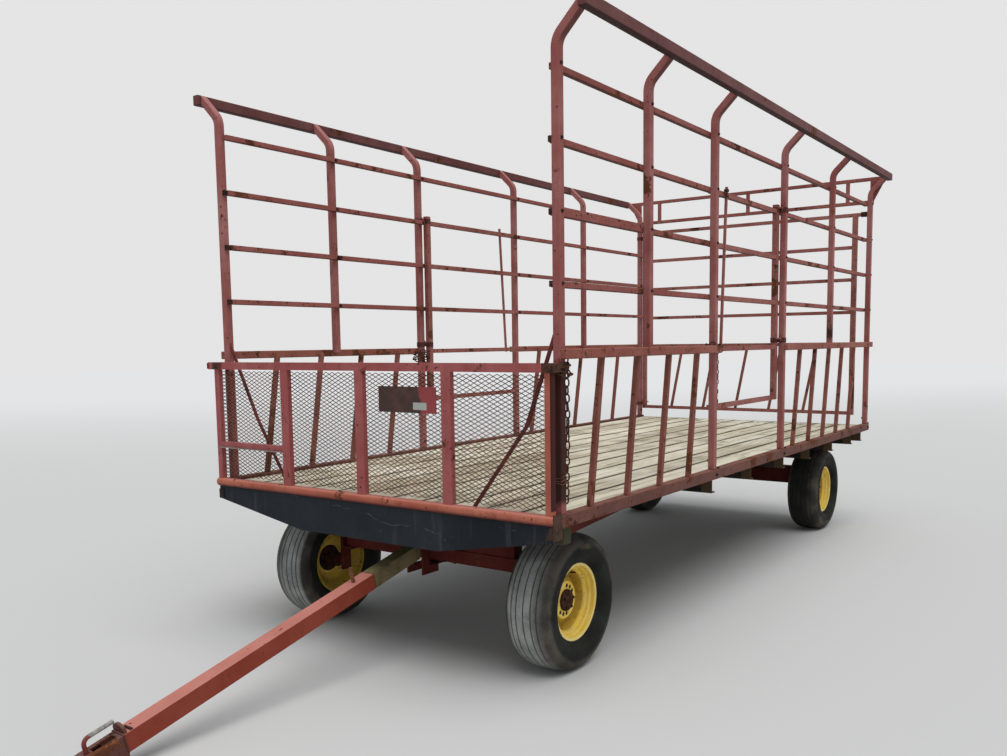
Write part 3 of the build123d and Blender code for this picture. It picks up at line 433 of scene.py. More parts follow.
# %% [markdown]
# ## Timber
# The deck is softwood planks laid lengthwise. Years of bales have scoured them to a pale grey-tan
# with yellow showing through, and each plank has its own tone, so a plank's number is worked out
# from y and a White Noise node gives it a shade. The grain is noise stretched along the plank,
# and dirt has settled beside the gaps. The planks' edges right at the gaps and their faces that
# look down are darkened with painted shade.

# %% Timber finishes
PLANK_COUNT = 11
PLANK_GAP = 6 * MM
GAP_SHIFT = 0.014           # how far the dark edges lie to one side, as a share of the pitch
plank_pitch = (planks_high[1] - planks_low[1] + PLANK_GAP) / PLANK_COUNT


def plank_finish():
    """Grey-tan planks with grain, checks, stains and a tone for each plank, and painted shade at the gaps and
    underneath.
    """
    finish = Finish("Deck planks")
    across = (finish.y - float(planks_low[1])) / plank_pitch
    number = across.floor()
    tone = finish.node("ShaderNodeTexWhiteNoise", {"noise_dimensions": "1D"}, {"W": number + 3.7})
    shifted = finish.node(
        "ShaderNodeCombineXYZ", None,
        {0: finish.x * 0.045 + tone * 3.0, 1: finish.y, 2: finish.z * 0.2 + number * 0.37},
    )
    grain = finish.noise(24.0, 6.0, 0.65, along=shifted, bend=0.4)
    fibre = finish.noise(120.0, 4.0, 0.7, along=shifted)
    bleach = finish.noise(1.6, 4.0).rise(0.42, 0.62)
    ragged = finish.noise(5.0, 4.0, 0.6, along=finish.stretched(0.35, 1.0, 1.0)) - 0.5
    streak = finish.noise(7.0, 5.0, 0.7, along=shifted, bend=0.8).rise(0.52, 0.72)
    from_middle = abs(across - number - 0.5 - GAP_SHIFT)
    check = finish.noise(46.0, 3.0, 0.5, along=shifted).rise(0.66, 0.69)
    green = finish.x.band(rear_post_x + 0.05, 0.16, 0.1) * finish.noise(9.0).rise(0.5, 0.6)
    colour = finish.layers(
        finish.mix(tone, (0.47, 0.405, 0.28), (0.76, 0.705, 0.545)),
        (grain.rise(0.44, 0.68) * 0.8, (0.24, 0.185, 0.115)),
        (fibre.rise(0.48, 0.7) * 0.6, (0.86, 0.82, 0.68)),
        (bleach * 0.55, (0.86, 0.82, 0.69)),
        (streak * 0.62, (0.205, 0.155, 0.1)),
        ((from_middle + ragged * 0.35).rise(0.34, 0.47) * 0.45, (0.17, 0.13, 0.085)),
        (finish.noise(2.6, 5.0, 0.6).rise(0.56, 0.68) * 0.5, (0.19, 0.15, 0.1)),
        # painted shade: near-black edges along each gap between the planks
        ((from_middle + ragged * 0.05).rise(0.43, 0.458) * 0.92, (0.03, 0.022, 0.016)),
        (check * 0.8, (0.045, 0.034, 0.024)),
        (green * 0.6, (0.075, 0.08, 0.04)),
        # painted shade on the faces that look down
        (finish.face_z.rise(-0.3, -0.8) * 0.8, (0.06, 0.045, 0.034)),
    )
    relief = fibre * 0.5 + grain * 0.9 - check * 1.5
    return finish.done(colour, 0.86, relief, 0.003, specular=0.2)


def dark_timber(name, tip_colour, tip_from):
    """Black, oiled timber or channel whose ends have weathered to another colour."""
    finish = Finish(name)
    grain = finish.noise(14.0, 5.0, 0.6, along=finish.stretched(1.0, 0.15, 1.0))
    colour = finish.mix(grain.rise(0.4, 0.7), (0.012, 0.01, 0.009), (0.04, 0.03, 0.022))
    tip = abs(finish.y).rise(tip_from - 0.03, tip_from + 0.02)
    worn = (tip + (finish.noise(30.0, 4.0) - 0.5) * 0.9).rise(0.45, 0.7)
    colour = finish.mix(worn, colour, tip_colour)
    return finish.done(colour, 0.8, grain, 0.0012, specular=0.25)


plank_wood = plank_finish()
sill_wood = dark_timber("Front sill timber", (0.062, 0.058, 0.03), post_y - 0.12)
cross_sill_black = dark_timber("Cross sill black", (0.095, 0.06, 0.03), post_y - 0.1)

# %% [markdown]
# ## Rubber and wheel paint
# The tread is worn smooth and grey, with dust in it, and the sidewalls are black with a brown ring
# of dried mud; the rear tyres stand in the deck's shade, so their tread is a darker copy, a painted
# shade. The rims are yellow, with brown dirt and painted shade in the drop of the rim, a painted
# highlight on the lip and painted shade in the bolt holes. These patterns follow the wheel and not
# the wagon, so each wheel's mesh carries a radius attribute that the finish reads.

# %% Rubber and wheel paint
def rubber_finish(name, tread_dark, tread_pale):
    """Rubber whose colour follows three attributes: how far out from the axle it is, whether it
    is tread, and whether it is a groove. The outer part of the side is scuffed brown."""
    finish = Finish(name)
    radius, tread, groove = map(finish.attribute, ("radius", "tread", "groove"))
    cloudy = finish.noise(7.0, 5.0, 0.6)
    fine = finish.noise(90.0, 4.0, 0.6)
    scuffed = finish.mix(cloudy.rise(0.35, 0.65), (0.04, 0.038, 0.033), (0.1, 0.09, 0.074))
    ring = radius.band(0.56, 0.06, 0.08)
    mud = (ring * 0.4 + (finish.noise(5.0, 5.0) - 0.5) * 1.7 + (fine - 0.5) * 0.7).rise(0.42, 0.7)
    side = finish.layers(
        finish.mix(cloudy.rise(0.35, 0.7), (0.012, 0.013, 0.012), (0.026, 0.028, 0.025)),
        (radius.rise(0.52, 0.7), scuffed),
        (mud * 0.55, (0.16, 0.12, 0.08)),
    )
    worn = finish.layers(
        finish.mix(cloudy.rise(0.3, 0.7), tread_dark, tread_pale),
        (fine.rise(0.45, 0.75) * 0.3, tuple(1.5 * c for c in tread_pale)),
        (groove * 0.9, (0.03, 0.03, 0.03)),
    )
    colour = finish.mix(tread, side, worn)
    relief = fine * 0.5 + finish.noise(18.0, 3.0) * 0.7
    return finish.done(colour, 0.8 + (fine - 0.5) * 0.1, relief, 0.0012, specular=0.12)


def wheel_yellow():
    """Yellow enamel with rust flecks, brown dirt and painted shade in the drop of the rim, a painted highlight on
    the lip and painted shade in the bolt holes.
    """
    finish = Finish("Wheel yellow")
    hole_and_shade, grime, lip = map(finish.attribute, ("hole_and_shade", "grime", "lip"))
    cloudy = finish.noise(14.0, 5.0, 0.6)
    fine = finish.noise(70.0, 3.0)
    dirt_and_shade = (grime + (cloudy - 0.5) * 0.9).rise(0.35, 0.8)
    colour = finish.layers(
        finish.mix(cloudy.rise(0.35, 0.7), (0.88, 0.6, 0.08), (0.94, 0.72, 0.2)),
        # a painted highlight on the rim's lip
        (lip * (0.7 + fine * 0.3), (0.98, 0.8, 0.32)),
        # brown dirt and painted shade, strongest deep in the drop of the rim
        (dirt_and_shade * 0.7, (0.4, 0.245, 0.018)),
        ((fine + grime * 0.06).rise(0.68, 0.72), (0.11, 0.048, 0.022)),
        # painted shade in the bolt holes
        (hole_and_shade.rise(0.35, 0.7), (0.012, 0.008, 0.006)),
    )
    return finish.done(colour, 0.5 + dirt_and_shade * 0.25, fine, 0.0005, specular=0.25)


def hub_finish():
    """Dark maroon hub, blotchy, with flecks of rust."""
    finish = Finish("Hub maroon rust")
    cloudy = finish.noise(26.0, 5.0, 0.6)
    colour = finish.mix(cloudy.rise(0.4, 0.62), (0.026, 0.011, 0.009), (0.07, 0.03, 0.022))
    colour = finish.mix(finish.noise(60.0).rise(0.62, 0.72), colour, RUST)
    return finish.done(colour, 0.7, cloudy, 0.001, specular=0.1)


front_rubber = rubber_finish("Tyre rubber front", (0.19, 0.198, 0.19), (0.38, 0.39, 0.375))
# The rear tyres stand in the deck's shade: their tread colours are a darker copy of the front ones, a painted
# shade.
rear_rubber_shaded = rubber_finish("Tyre rubber rear shaded", (0.014, 0.015, 0.014), (0.032, 0.031, 0.029))
rim_yellow = wheel_yellow()
hub_maroon = hub_finish()
print("finishes in all:", len(bpy.data.materials))

# %% [markdown]
# ## Worn edges on the frame's parts
# Square tube has rounded corners, and a sharp edge on a render is what gives a model away. The
# frame's own meshes are loose triangles and may not be changed, so each part is copied, its
# triangles are joined up and its flat faces dissolved, and a Bevel modifier rounds the edges that
# are left. The copy stands for the part.

# %% Worn copies of the frame's parts
body_of_node = {n: b for b, names in frame["record"]["behaviour"]["bodies"].items() for n in names}


def put(name, data):
    """A new object in the scene: a mesh, a lamp or a camera."""
    made = bpy.data.objects.new(name, data)
    bpy.context.scene.collection.objects.link(made)
    return made


def edit_mesh(mesh, change):
    """Opens a mesh for editing, changes it and puts it back."""
    work = bmesh.new()
    work.from_mesh(mesh)
    change(work)
    work.to_mesh(mesh)
    work.free()


def join_up(work):
    """Joins loose triangles and dissolves the edges inside flat faces."""
    bmesh.ops.remove_doubles(work, verts=work.verts, dist=1e-5)
    flat = radians(0.5)
    bmesh.ops.dissolve_limit(work, angle_limit=flat, verts=work.verts, edges=work.edges)


def worn_copy(node, material, edge):
    """A joined copy of a frame part with a finish, and rounded edges where it has a width."""
    mesh = frame["nodes"][node].data.copy()
    mesh.name = f"{node}_worn"
    edit_mesh(mesh, join_up)
    mesh.materials.clear()
    mesh.materials.append(material)
    piece = put(mesh.name, mesh)
    if edge:
        bevel = piece.modifiers.new("rounded edges", "BEVEL")
        bevel.width, bevel.segments = edge, 2
        bevel.limit_method, bevel.angle_limit = "ANGLE", radians(40.0)
        mesh.polygons.foreach_set("use_smooth", np.zeros(len(mesh.polygons), bool))
    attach(piece, body_of_node[node])
    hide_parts(node)


# %% [markdown]
# ## The sign plate
# A dark brown plate is wired to the mesh. Its right part still shows red, with a small blank
# label, so the finish paints those two areas from y and z.

# %% The sign plate's finish
def sign_finish():
    """Dark brown with a red area that has a ragged edge, and a small pale label."""
    finish = Finish("Sign plate brown")
    ragged = finish.noise(18.0, 5.0, 0.6)
    red_from = float(sign_low[1] + 0.7 * (sign_high[1] - sign_low[1]))
    red = (finish.y + (ragged - 0.5) * 0.12).rise(red_from, red_from + 0.012)
    across, up = float(sign_low[1]) + 0.29, float(sign_low[2]) + 0.036
    label = finish.y.band(across, 0.045, 0.002) * finish.z.band(up, 0.018, 0.002)
    colour = finish.layers(
        finish.mix(ragged.rise(0.35, 0.7), (0.045, 0.02, 0.015), (0.08, 0.034, 0.026)),
        (red, (0.3, 0.05, 0.055)),
        (label, (0.42, 0.44, 0.4)),
    )
    return finish.done(colour, 0.6, ragged, 0.0006)


inner_tongue_paint = old_paint(
    "Inner tongue olive", (0.13, 0.1, 0.046), (0.27, 0.22, 0.115), chips=0.66, patches=0.63,
    underside_shade=0.8, grime=0.7, top=(0.19, 0.17, 0.08),
)
WHEEL_NAMES = ("front_left", "front_right", "rear_left", "rear_right")
WORN = (       # a finish, and its parts with the width of their rounded edges in millimetres
    (rack_paint, {"rack_posts": 5}),
    (top_rail_paint, {"top_rails": 6}),
    (rail_paint, {"upper_rails": 4}),
    (mid_rail_paint, {"mid_rails": 5}),
    (slat_paint, {"side_slats": 4}),
    (rail_paint, {"rear_header": 4}),
    (panel_paint, {"front_panel_frame": 4}),
    (brace_paint, {"front_braces": 2}),
    (edge_paint, {"deck_edge_rails": 5}),
    (gate_paint, {"side_gate_left": 3, "side_gate_right": 3, "rear_gate": 3}),
    (slat_paint, {"rear_gate_slats": 3}),
    (hinge_maroon, {"gate_hinges": 1.5}),
    (plate_paint, {"front_plate": 2}),
    (sign_finish(), {"sign_plate": 0}),
    (plank_wood, {"deck_planks": 4}),
    (cross_sill_black, {"cross_sills": 2}),
    (sill_wood, {"front_wood_sill": 6}),
    (cross_sill_black, {"main_sills": 2}),
    (axle_paint, {"bolsters": 3, "reach_pole": 3, "front_axle": 4, "rear_axle": 4,
                  "knuckle_left": 3, "knuckle_right": 3, "steering_bracket": 2}),
    (bracket_rust, {"tie_rod_left": 1.5, "tie_rod_right": 1.5}),
    (tongue_paint, {"tongue_tube": 5}),
    (pin_rust, {"tongue_pin": 1.5}),
    (clevis_paint, {"hitch_clevis": 3}),
    (inner_tongue_paint, {"tongue_inner": 3}),
    (hub_maroon, {f"hub_{wheel}": 3 for wheel in WHEEL_NAMES}),
)
for material, edges in WORN:
    for node, width in edges.items():
        worn_copy(node, material, width * MM)
print("worn copies:", sum(len(edges) for material, edges in WORN))

# %% [markdown]
# ## Profiles carried along paths
# Chain links, bolts, straps, brackets and the wire strands of the mesh are all the same kind of
# surface: a small flat outline carried along a line. One function makes it for a whole path at
# once, and another joins many such pieces into one mesh, because a thousand objects would be slow.

# %% Sweeping and joining
def circle(radius, sides):
    """Points on a circle: radius times the cosine and sine of equal steps of angle."""
    a = np.arange(sides) * 2 * pi / sides
    return radius * np.stack([np.cos(a), np.sin(a)], 1)


def rectangle(width, height):
    """The four corners of a rectangle about its middle."""
    return np.array([(-1, -1), (1, -1), (1, 1), (-1, 1)]) * (width / 2, height / 2)


def unit(vectors):
    """Each vector divided by its own length."""
    return vectors / np.maximum(np.linalg.norm(vectors, axis=-1, keepdims=True), 1e-12)


def grid_faces(rows, columns, wrap_rows=False):
    """Four-sided faces between neighbouring vertices of a grid that is joined across its columns,
    and also end to end if its rows wrap."""
    i = np.arange(rows if wrap_rows else rows - 1)[:, None]
    j = np.arange(columns)[None, :]
    k, m = (i + 1) % rows, (j + 1) % columns
    corners = [i * columns + j, i * columns + m, k * columns + m, k * columns + j]
    return np.stack(corners, -1).reshape(-1, 4).tolist()


def capped_faces(rows, columns):
    """The faces of a grid joined across its columns, with a flat face on each end."""
    last = (rows - 1) * columns
    ends = [list(range(columns))[::-1], list(range(last, last + columns))]
    return grid_faces(rows, columns) + ends


def swept(profile, path, up=(0.0, 0.0, 1.0), closed=False):
    """A profile carried along a path. The direction at a point is that from the point before to
    the point after it. The profile's first coordinate goes along up x direction, its second
    along direction x that, and both ends are closed by a flat face unless the path is a loop."""
    path = np.asarray(path, float)
    if closed:
        direction = unit(np.roll(path, -1, 0) - np.roll(path, 1, 0))
    else:
        padded = np.vstack([path[:1], path, path[-1:]])
        direction = unit(padded[2:] - padded[:-2])
    across = unit(np.cross(np.asarray(up, float), direction))
    over = np.cross(direction, across)
    ring = profile[None, :, :1] * across[:, None] + profile[None, :, 1:] * over[:, None]
    vertices = (path[:, None] + ring).reshape(-1, 3)
    if closed:
        return vertices, grid_faces(len(path), len(profile), wrap_rows=True)
    return vertices, capped_faces(len(path), len(profile))


def add_piece(name, parts, material, body, smooth_below=35.0, attributes=None):
    """Joins (vertices, faces) pairs into one mesh at the origin, with its faces turned outwards,
    smooth where they meet at less than an angle, and lets it move with a body."""
    vertices = np.concatenate([p[0] for p in parts])
    starts = np.cumsum([0] + [len(p[0]) for p in parts])
    faces = [[c + int(s) for c in face] for s, part in zip(starts, parts) for face in part[1]]
    mesh = bpy.data.meshes.new(name)
    mesh.from_pydata(vertices.tolist(), [], faces)
    for key, values in (attributes or {}).items():
        layer = mesh.attributes.new(key, "FLOAT", "POINT")
        layer.data.foreach_set("value", np.asarray(values, np.float32))
    edit_mesh(mesh, lambda work: bmesh.ops.recalc_face_normals(work, faces=work.faces))
    mesh.polygons.foreach_set("use_smooth", np.ones(len(mesh.polygons), bool))
    mesh.set_sharp_from_angle(angle=radians(smooth_below))
    mesh.materials.append(material)
    piece = put(name, mesh)
    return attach(piece, body)



def bar(start, end, width, height, up=(0.0, 0.0, 1.0)):
    """A rectangular bar between two points."""
    return swept(rectangle(width, height), [start, end], up)


def block(x, y, z):
    """A box square to the wagon, from its low and high x, y and z."""
    (x0, x1), (y0, y1), (z0, z1) = x, y, z
    across, up = (y0 + y1) / 2, (z0 + z1) / 2
    return bar((x0, across, up), (x1, across, up), y1 - y0, z1 - z0)


def span(middle, half):
    """The low and high ends of a stretch about its middle."""
    return middle - half, middle + half


def slab(outline, shift):
    """A flat plate: an outline, the same outline moved by the thickness, and what joins them."""
    return np.concatenate([outline, outline + shift]), capped_faces(2, len(outline))


# %% [markdown]
# ## Tyres
# An implement tyre has a rounded section and a ribbed tread worn almost smooth. Its section is a
# superellipse: the shares of the half width and of the half height, each raised to the same power,
# add up to one. Four grooves are then pressed into the tread. The section is turned about the axle
# line, so a point of the tyre is a function of the angle round the wheel and the place along the
# section.

# %% Tyres
TYRE_POWER = 3.0
GROOVES = (-0.078, -0.045, 0.0, 0.045, 0.078)
GROOVE_HALF = 2.6 * MM
GROOVE_DEPTH = 6.0 * MM
BEAD = 91.5 * MM
RIM_SEAT = 203.5 * MM
FLANGE = 220.7 * MM
SIDE_POINTS, TREAD_POINTS = 26, 111      # points along each side and across the tread
WHEEL_STEPS = 120
WHEELS = {}
for wheel in WHEEL_NAMES:
    low, high = limits(f"tyre_{wheel}")
    WHEELS[wheel] = {"middle": (low + high) / 2, "side": 1.0 if "left" in wheel else -1.0}
tyre_low, tyre_high = limits("tyre_front_left")
tyre_radius = (tyre_high[2] - tyre_low[2]) / 2
tyre_half = (tyre_high[1] - tyre_low[1]) / 2


def tyre_section():
    """Offsets and radii round the section, with how far out each point is, and whether it is
    tread or groove."""
    middle = (tyre_radius + FLANGE) / 2 - 0.007
    rise = tyre_radius - middle
    start = -np.arcsin(((middle - FLANGE) / rise) ** (TYRE_POWER / 2))
    side = np.linspace(start, pi / 2 - 0.62, SIDE_POINTS)
    offset = tyre_half * np.cos(side) ** (2 / TYRE_POWER)
    radius = middle + rise * np.sign(np.sin(side)) * np.abs(np.sin(side)) ** (2 / TYRE_POWER)
    radius += 0.0012 * np.exp(-(((offset - 0.13) / 0.0025) ** 2)) * (side > 0)
    tread = np.linspace(offset[-1], -offset[-1], TREAD_POINTS + 2)[1:-1]
    crown = middle + rise * (1 - np.abs(tread / tyre_half) ** TYRE_POWER) ** (1 / TYRE_POWER)
    nearest = np.min(np.abs(tread[:, None] - np.array(GROOVES)[None, :]), 1)
    groove = np.clip(1.6 - nearest / GROOVE_HALF, 0, 1)
    offsets = np.concatenate([[BEAD], offset, tread, -offset[::-1], [-BEAD]])
    pressed = crown - GROOVE_DEPTH * groove
    radii = np.concatenate([[RIM_SEAT], radius, pressed, radius[::-1], [RIM_SEAT]])
    fade = np.where(offsets > 0, 0.08, 0.012)       # the outer ribs are scuffed and darker
    on_tread = np.clip((0.112 - np.abs(offsets)) / fade, 0, 1) * (radii > middle)
    cut = np.pad(groove, SIDE_POINTS + 1)
    return offsets, radii, (radii - FLANGE) / (tyre_radius - FLANGE), on_tread, cut


def turned(offsets, radii, wheel, steps=WHEEL_STEPS):
    """A closed outline of offsets along the axle and radii, turned about the axle line."""
    a = np.arange(steps)[:, None] * 2 * pi / steps
    x = wheel["middle"][0] + radii[None, :] * np.cos(a)
    y = wheel["middle"][1] + wheel["side"] * np.broadcast_to(offsets[None, :], x.shape)
    z = wheel["middle"][2] + radii[None, :] * np.sin(a)
    vertices = np.stack([x, y, z], -1).reshape(-1, 3)
    return vertices, grid_faces(steps, len(offsets), wrap_rows=True)


offsets, radii, far_out, on_tread, cut = tyre_section()
for name, wheel in WHEELS.items():
    marks = {"radius": far_out, "tread": on_tread, "groove": cut}
    marks = {key: np.tile(values, WHEEL_STEPS) for key, values in marks.items()}
    # the rear tyres take the copy that is darkened with painted shade
    rubber = front_rubber if "front" in name else rear_rubber_shaded
    tyre = add_piece(f"tyre_{name}_ribbed", [turned(offsets, radii, wheel)], rubber,
                     f"wheel_{name}", 30.0, marks)
    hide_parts(f"tyre_{name}")
print("tyre radius", round(tyre_radius, 3), "points round its section", len(offsets))

# %% [markdown]
# ## Rims
# A rim is a rolled ring with a drop in its middle. Its pressed disc starts deep in that drop, comes
# outward as a cone and ends in a flat ring that bolts to the hub. The outline is closed and each
# of its corners is rounded, then turned about the axle. The bolt holes stand in two groups of
# three. They are pressed into the flat ring by moving its points inward where they lie in a hole.

# %% Rims
RIM_HALF, RIM_SHOULDER = 98 * MM, 91.8 * MM
DISC_FRONT = 28 * MM
DISC_BACK = 20 * MM
DISC_INNER = 60.2 * MM
HOLE_CIRCLE = 78 * MM
HOLE_R = 11.5 * MM
HOLE_DEPTH = 6.0 * MM
HOLE_ANGLES = [radians(a) for group in (37.0, 196.0) for a in (group - 25, group, group + 25)]
FLAT_RING = 98 * MM       # outer radius of the flat ring
DISH = -32 * MM           # where the cone starts, from the middle of the wheel
RIM_STEPS = 180


def rounded(points, radius, steps=3):
    """A closed outline with each corner cut back by the radius and bridged by a curve that starts
    and ends along its two sides: a quadratic through the corner's two cut points."""
    points = np.asarray(points, float)
    before, after = np.roll(points, 1, 0), np.roll(points, -1, 0)
    sides = [np.linalg.norm(other - points, axis=1) for other in (before, after)]
    room = np.minimum(*sides)
    cut_back = np.minimum(radius, 0.45 * room)[:, None]
    first = points + unit(before - points) * cut_back
    last = points + unit(after - points) * cut_back
    t = np.linspace(0, 1, steps + 1)[None, :, None]
    curve = (1 - t) ** 2 * first[:, None] + 2 * t * (1 - t) * points[:, None] + t ** 2 * last[:, None]
    return curve.reshape(-1, 2)


lip = FLANGE - 1 * MM
seat = RIM_SEAT - 0.6 * MM
well = RIM_SEAT - 33 * MM
outer_in = seat - 7.2 * MM
well_in = well - 6 * MM
ring_face = [(DISC_FRONT, r) for r in np.linspace(FLAT_RING, DISC_INNER, 18)]
rim_outline = np.concatenate([
    rounded([(-RIM_HALF, lip), (-RIM_SHOULDER, lip), (-RIM_SHOULDER, seat), (-0.066, seat),
             (-0.045, well), (0.035, well), (0.056, seat), (RIM_SHOULDER, seat), (RIM_SHOULDER, lip),
             (RIM_HALF, lip), (RIM_HALF, outer_in), (0.072, outer_in - 0.002),
             (0.066, outer_in - 0.01), (0.05, outer_in - 0.012), (0.036, well_in),
             (DISH + 0.006, well_in), (DISH, well_in - 0.008),
             (DISC_FRONT - 0.001, FLAT_RING + 0.004)], 0.004)[2:],
    ring_face,
    [(DISC_BACK, DISC_INNER), (DISC_BACK, FLAT_RING), (DISH - 0.008, well_in - 0.006),
     (-0.048, well_in), (-0.07, outer_in), (-RIM_HALF, outer_in)],
])
for name, wheel in WHEELS.items():
    offsets, radii = rim_outline[:, 0], rim_outline[:, 1]
    vertices, faces = turned(offsets, radii, wheel, RIM_STEPS)
    from_hub = vertices - wheel["middle"]
    face = np.tile(np.isclose(offsets, DISC_FRONT), RIM_STEPS)
    # the holes are pressed in, and the same mask paints them near black as shade
    hole_and_shade = np.zeros(len(vertices))
    for a in HOLE_ANGLES:
        off = np.hypot(from_hub[:, 0] + HOLE_CIRCLE * sin(a), from_hub[:, 2] - HOLE_CIRCLE * cos(a))
        hole_and_shade = np.maximum(hole_and_shade, np.clip((HOLE_R * 1.25 - off) / (HOLE_R * 0.5), 0, 1) * face)
    vertices[:, 1] -= wheel["side"] * HOLE_DEPTH * hole_and_shade
    radius = np.tile(radii, RIM_STEPS)
    depth = np.tile(offsets, RIM_STEPS)
    # grime: brown dirt and painted shade, more the deeper it lies in the rim
    grime = np.clip((0.062 - depth) / 0.045, 0, 1) * 0.85 + 0.1
    grime = np.where(face | (radius < FLAT_RING + 0.006), 0.15, grime)
    # a painted highlight along the lip's outer edge
    lip_highlight = np.clip((depth - 0.086) / 0.006, 0, 1)
    lip_highlight = lip_highlight * np.clip((radius - outer_in + 0.001) / 0.006, 0, 1)
    rim = add_piece(f"rim_{name}_pressed", [(vertices, faces)], rim_yellow, f"wheel_{name}", 40.0,
                    {"hole_and_shade": hole_and_shade, "grime": grime, "lip": lip_highlight})
    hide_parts(f"rim_{name}")
print("rim outline points", len(rim_outline))

# %% [markdown]
# ## The expanded mesh
# Expanded metal is a sheet that has been slit and pulled open, so it is one net of diamonds and
# not woven wire. Each strand zigzags from knot to knot. Strands go in pairs, one that steps up
# from its knots and one that steps down, and every pair shares its knots with the pairs above and
# below.

# %% Expanded mesh
DIAMOND_LONG = 47.7 * MM
DIAMOND_SHORT = 22.4 * MM
STRAND_W = 3.6 * MM
STRAND_T = 2.6 * MM


def zigzag_strands():
    """One strand is a zigzag whose height is 0 at even knots and half a diamond at odd ones,
    carried by a rectangle. All strands are the same, moved up by whole diamonds and mirrored."""
    x = (mesh_low[0] + mesh_high[0]) / 2
    columns = int(round((mesh_high[1] - mesh_low[1]) / (DIAMOND_LONG / 2)))
    rows = int((mesh_high[2] - mesh_low[2]) / DIAMOND_SHORT)
    y = np.linspace(mesh_low[1] + 0.002, mesh_high[1] - 0.002, columns + 1)
    odd = np.arange(columns + 1) % 2
    bottom = mesh_low[2] + ((mesh_high[2] - mesh_low[2]) - rows * DIAMOND_SHORT) / 2
    strands = []
    for row in range(rows + 1):
        for step in (1.0, -1.0):
            z = bottom + row * DIAMOND_SHORT + step * odd * DIAMOND_SHORT / 2
            if z.min() < mesh_low[2] - 1e-6 or z.max() > mesh_high[2] + 1e-6:
                continue
            lean = 0.0005 * step * np.ones(columns + 1)
            strands.append(swept(rectangle(STRAND_T, STRAND_W), np.stack([x + lean, y, z], 1)))
    return strands


strands = zigzag_strands()
panel_mesh = add_piece("front_panel_expanded_mesh", strands, mesh_rust, "chassis", 60.0)
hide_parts("front_panel_mesh")
print("mesh strands", len(strands), "faces", len(panel_mesh.data.polygons))

# %% [markdown]
# ## Chains
# Rusty chains hold the gates. A link is a round wire bent into a loop with straight sides, and
# each link stands a quarter turn from the last. One link is made once, and the whole chain is that
# link placed at even steps along a path by a stack of rotation matrices.

# %% Chains
def link_loop(length, width, wire):
    """A closed loop of two half circles joined by straight sides, along which a circle is swept."""
    half = width / 2 - wire
    straight = length / 2 - width / 2
    a = np.linspace(-pi / 2, pi / 2, 5)
    right = np.stack([straight + half * np.cos(a), half * np.sin(a)], 1)
    flat = np.concatenate([right, -right])
    path = np.column_stack([flat, np.zeros(len(flat))])
    return swept(circle(wire, 7), path, closed=True)


def chain(path, seed, length=46 * MM, width=30 * MM, wire=4.2 * MM):
    """Links at even steps along a path: the step is the link's length less two wires."""
    path = np.asarray(path, float)
    runs = np.linalg.norm(np.diff(path, axis=0), axis=1)
    along = np.concatenate([[0.0], np.cumsum(runs)])
    step = length - 2 * wire
    count = int(along[-1] / step)
    at = (np.arange(count) + 0.5) * step
    middle, ahead, behind = (
        np.stack([np.interp(at + shift, along, path[:, k]) for k in range(3)], 1)
        for shift in (0.0, step / 2, -step / 2))
    direction = unit(ahead - behind)
    helper = np.where(np.abs(direction[:, 2:]) > 0.9, (0.0, 1.0, 0.0), (0.0, 0.0, 1.0))
    side = unit(np.cross(helper, direction))
    over = np.cross(direction, side)
    turn = np.arange(count) * pi / 2 + np.random.default_rng(seed).normal(0, 0.18, count)
    first = side * np.cos(turn)[:, None] + over * np.sin(turn)[:, None]
    second = np.cross(direction, first)
    frames = np.stack([direction, first, second], 1)
    vertices, faces = link_loop(length, width, wire)
    return [(vertices @ frames[i] + middle[i], faces) for i in range(count)]


def hanging(start, end, sag, points=24):
    """A path that falls between two points: a straight line less sag times 4 t (1 - t)."""
    t = np.linspace(0, 1, points)[:, None]
    start, end = np.asarray(start), np.asarray(end)
    fall = np.array([0.0, 0.0, 1.0]) * sag * 4 * t * (1 - t)
    return start * (1 - t) + end * t - fall


def looped(centre, radius, turns, spread, seed):
    """A tangle: a circle whose radius and height wander with a few slow sine waves."""
    waves = np.random.default_rng(seed).uniform(0.3, 1.0, 6)
    a = np.linspace(0, 2 * pi * turns, int(40 * turns))
    wander = 1 + 0.18 * np.sin(a * 0.7 + 6 * waves[0]) + 0.1 * np.sin(a * 1.9 + 6 * waves[1])
    height = spread * (np.sin(a * 0.43 + 6 * waves[2]) + 0.5 * np.sin(a * 1.31 + 6 * waves[3]))
    ring = np.stack([np.cos(a) * radius * wander, np.sin(a) * radius * wander, height], 1)
    return np.asarray(centre) + ring


mid_z = (mid_low[2] + mid_high[2]) / 2
back_x = front_post_x - HALF_POST - 0.018
chains = chain([(back_x, post_y + 0.012, mid_low[2] + 0.02), (back_x - 0.006, post_y + 0.016, 1.4),
                (back_x, post_y + 0.01, deck_top + 0.05)], 3)
chains += chain(looped((front_post_x, post_y, mid_z - 0.075), 0.047, 2.2, 0.016, seed=5), 7)
chains += chain(hanging((front_post_x - 0.043, post_y - 0.02, mid_z - 0.05),
                        (front_post_x - 0.05, post_y + 0.02, mid_z - 0.3), 0.05), 11)
add_piece("corner_chain", chains, chain_rust, "chassis")
small = {"length": 38 * MM, "width": 25 * MM, "wire": 3.5 * MM}
back_x = door_front_x - HALF_POST - 0.02
door_chain = chain([(back_x, post_y + 0.006, mid_low[2] + 0.05),
                    (back_x - 0.003, post_y + 0.008, 1.55),
                    (back_x - 0.002, post_y + 0.004, 1.375)], 13, **small)
door_chain += chain(
    looped((door_front_x, post_y, mid_z + 0.03), 0.042, 1.1, 0.012, seed=17), 19, **small)
add_piece("door_chain_left", door_chain, chain_rust, "chassis")
tangle = chain(looped((door_front_x - 0.01, -post_y, mid_z - 0.035), 0.052, 2.3, 0.026, seed=23), 29)
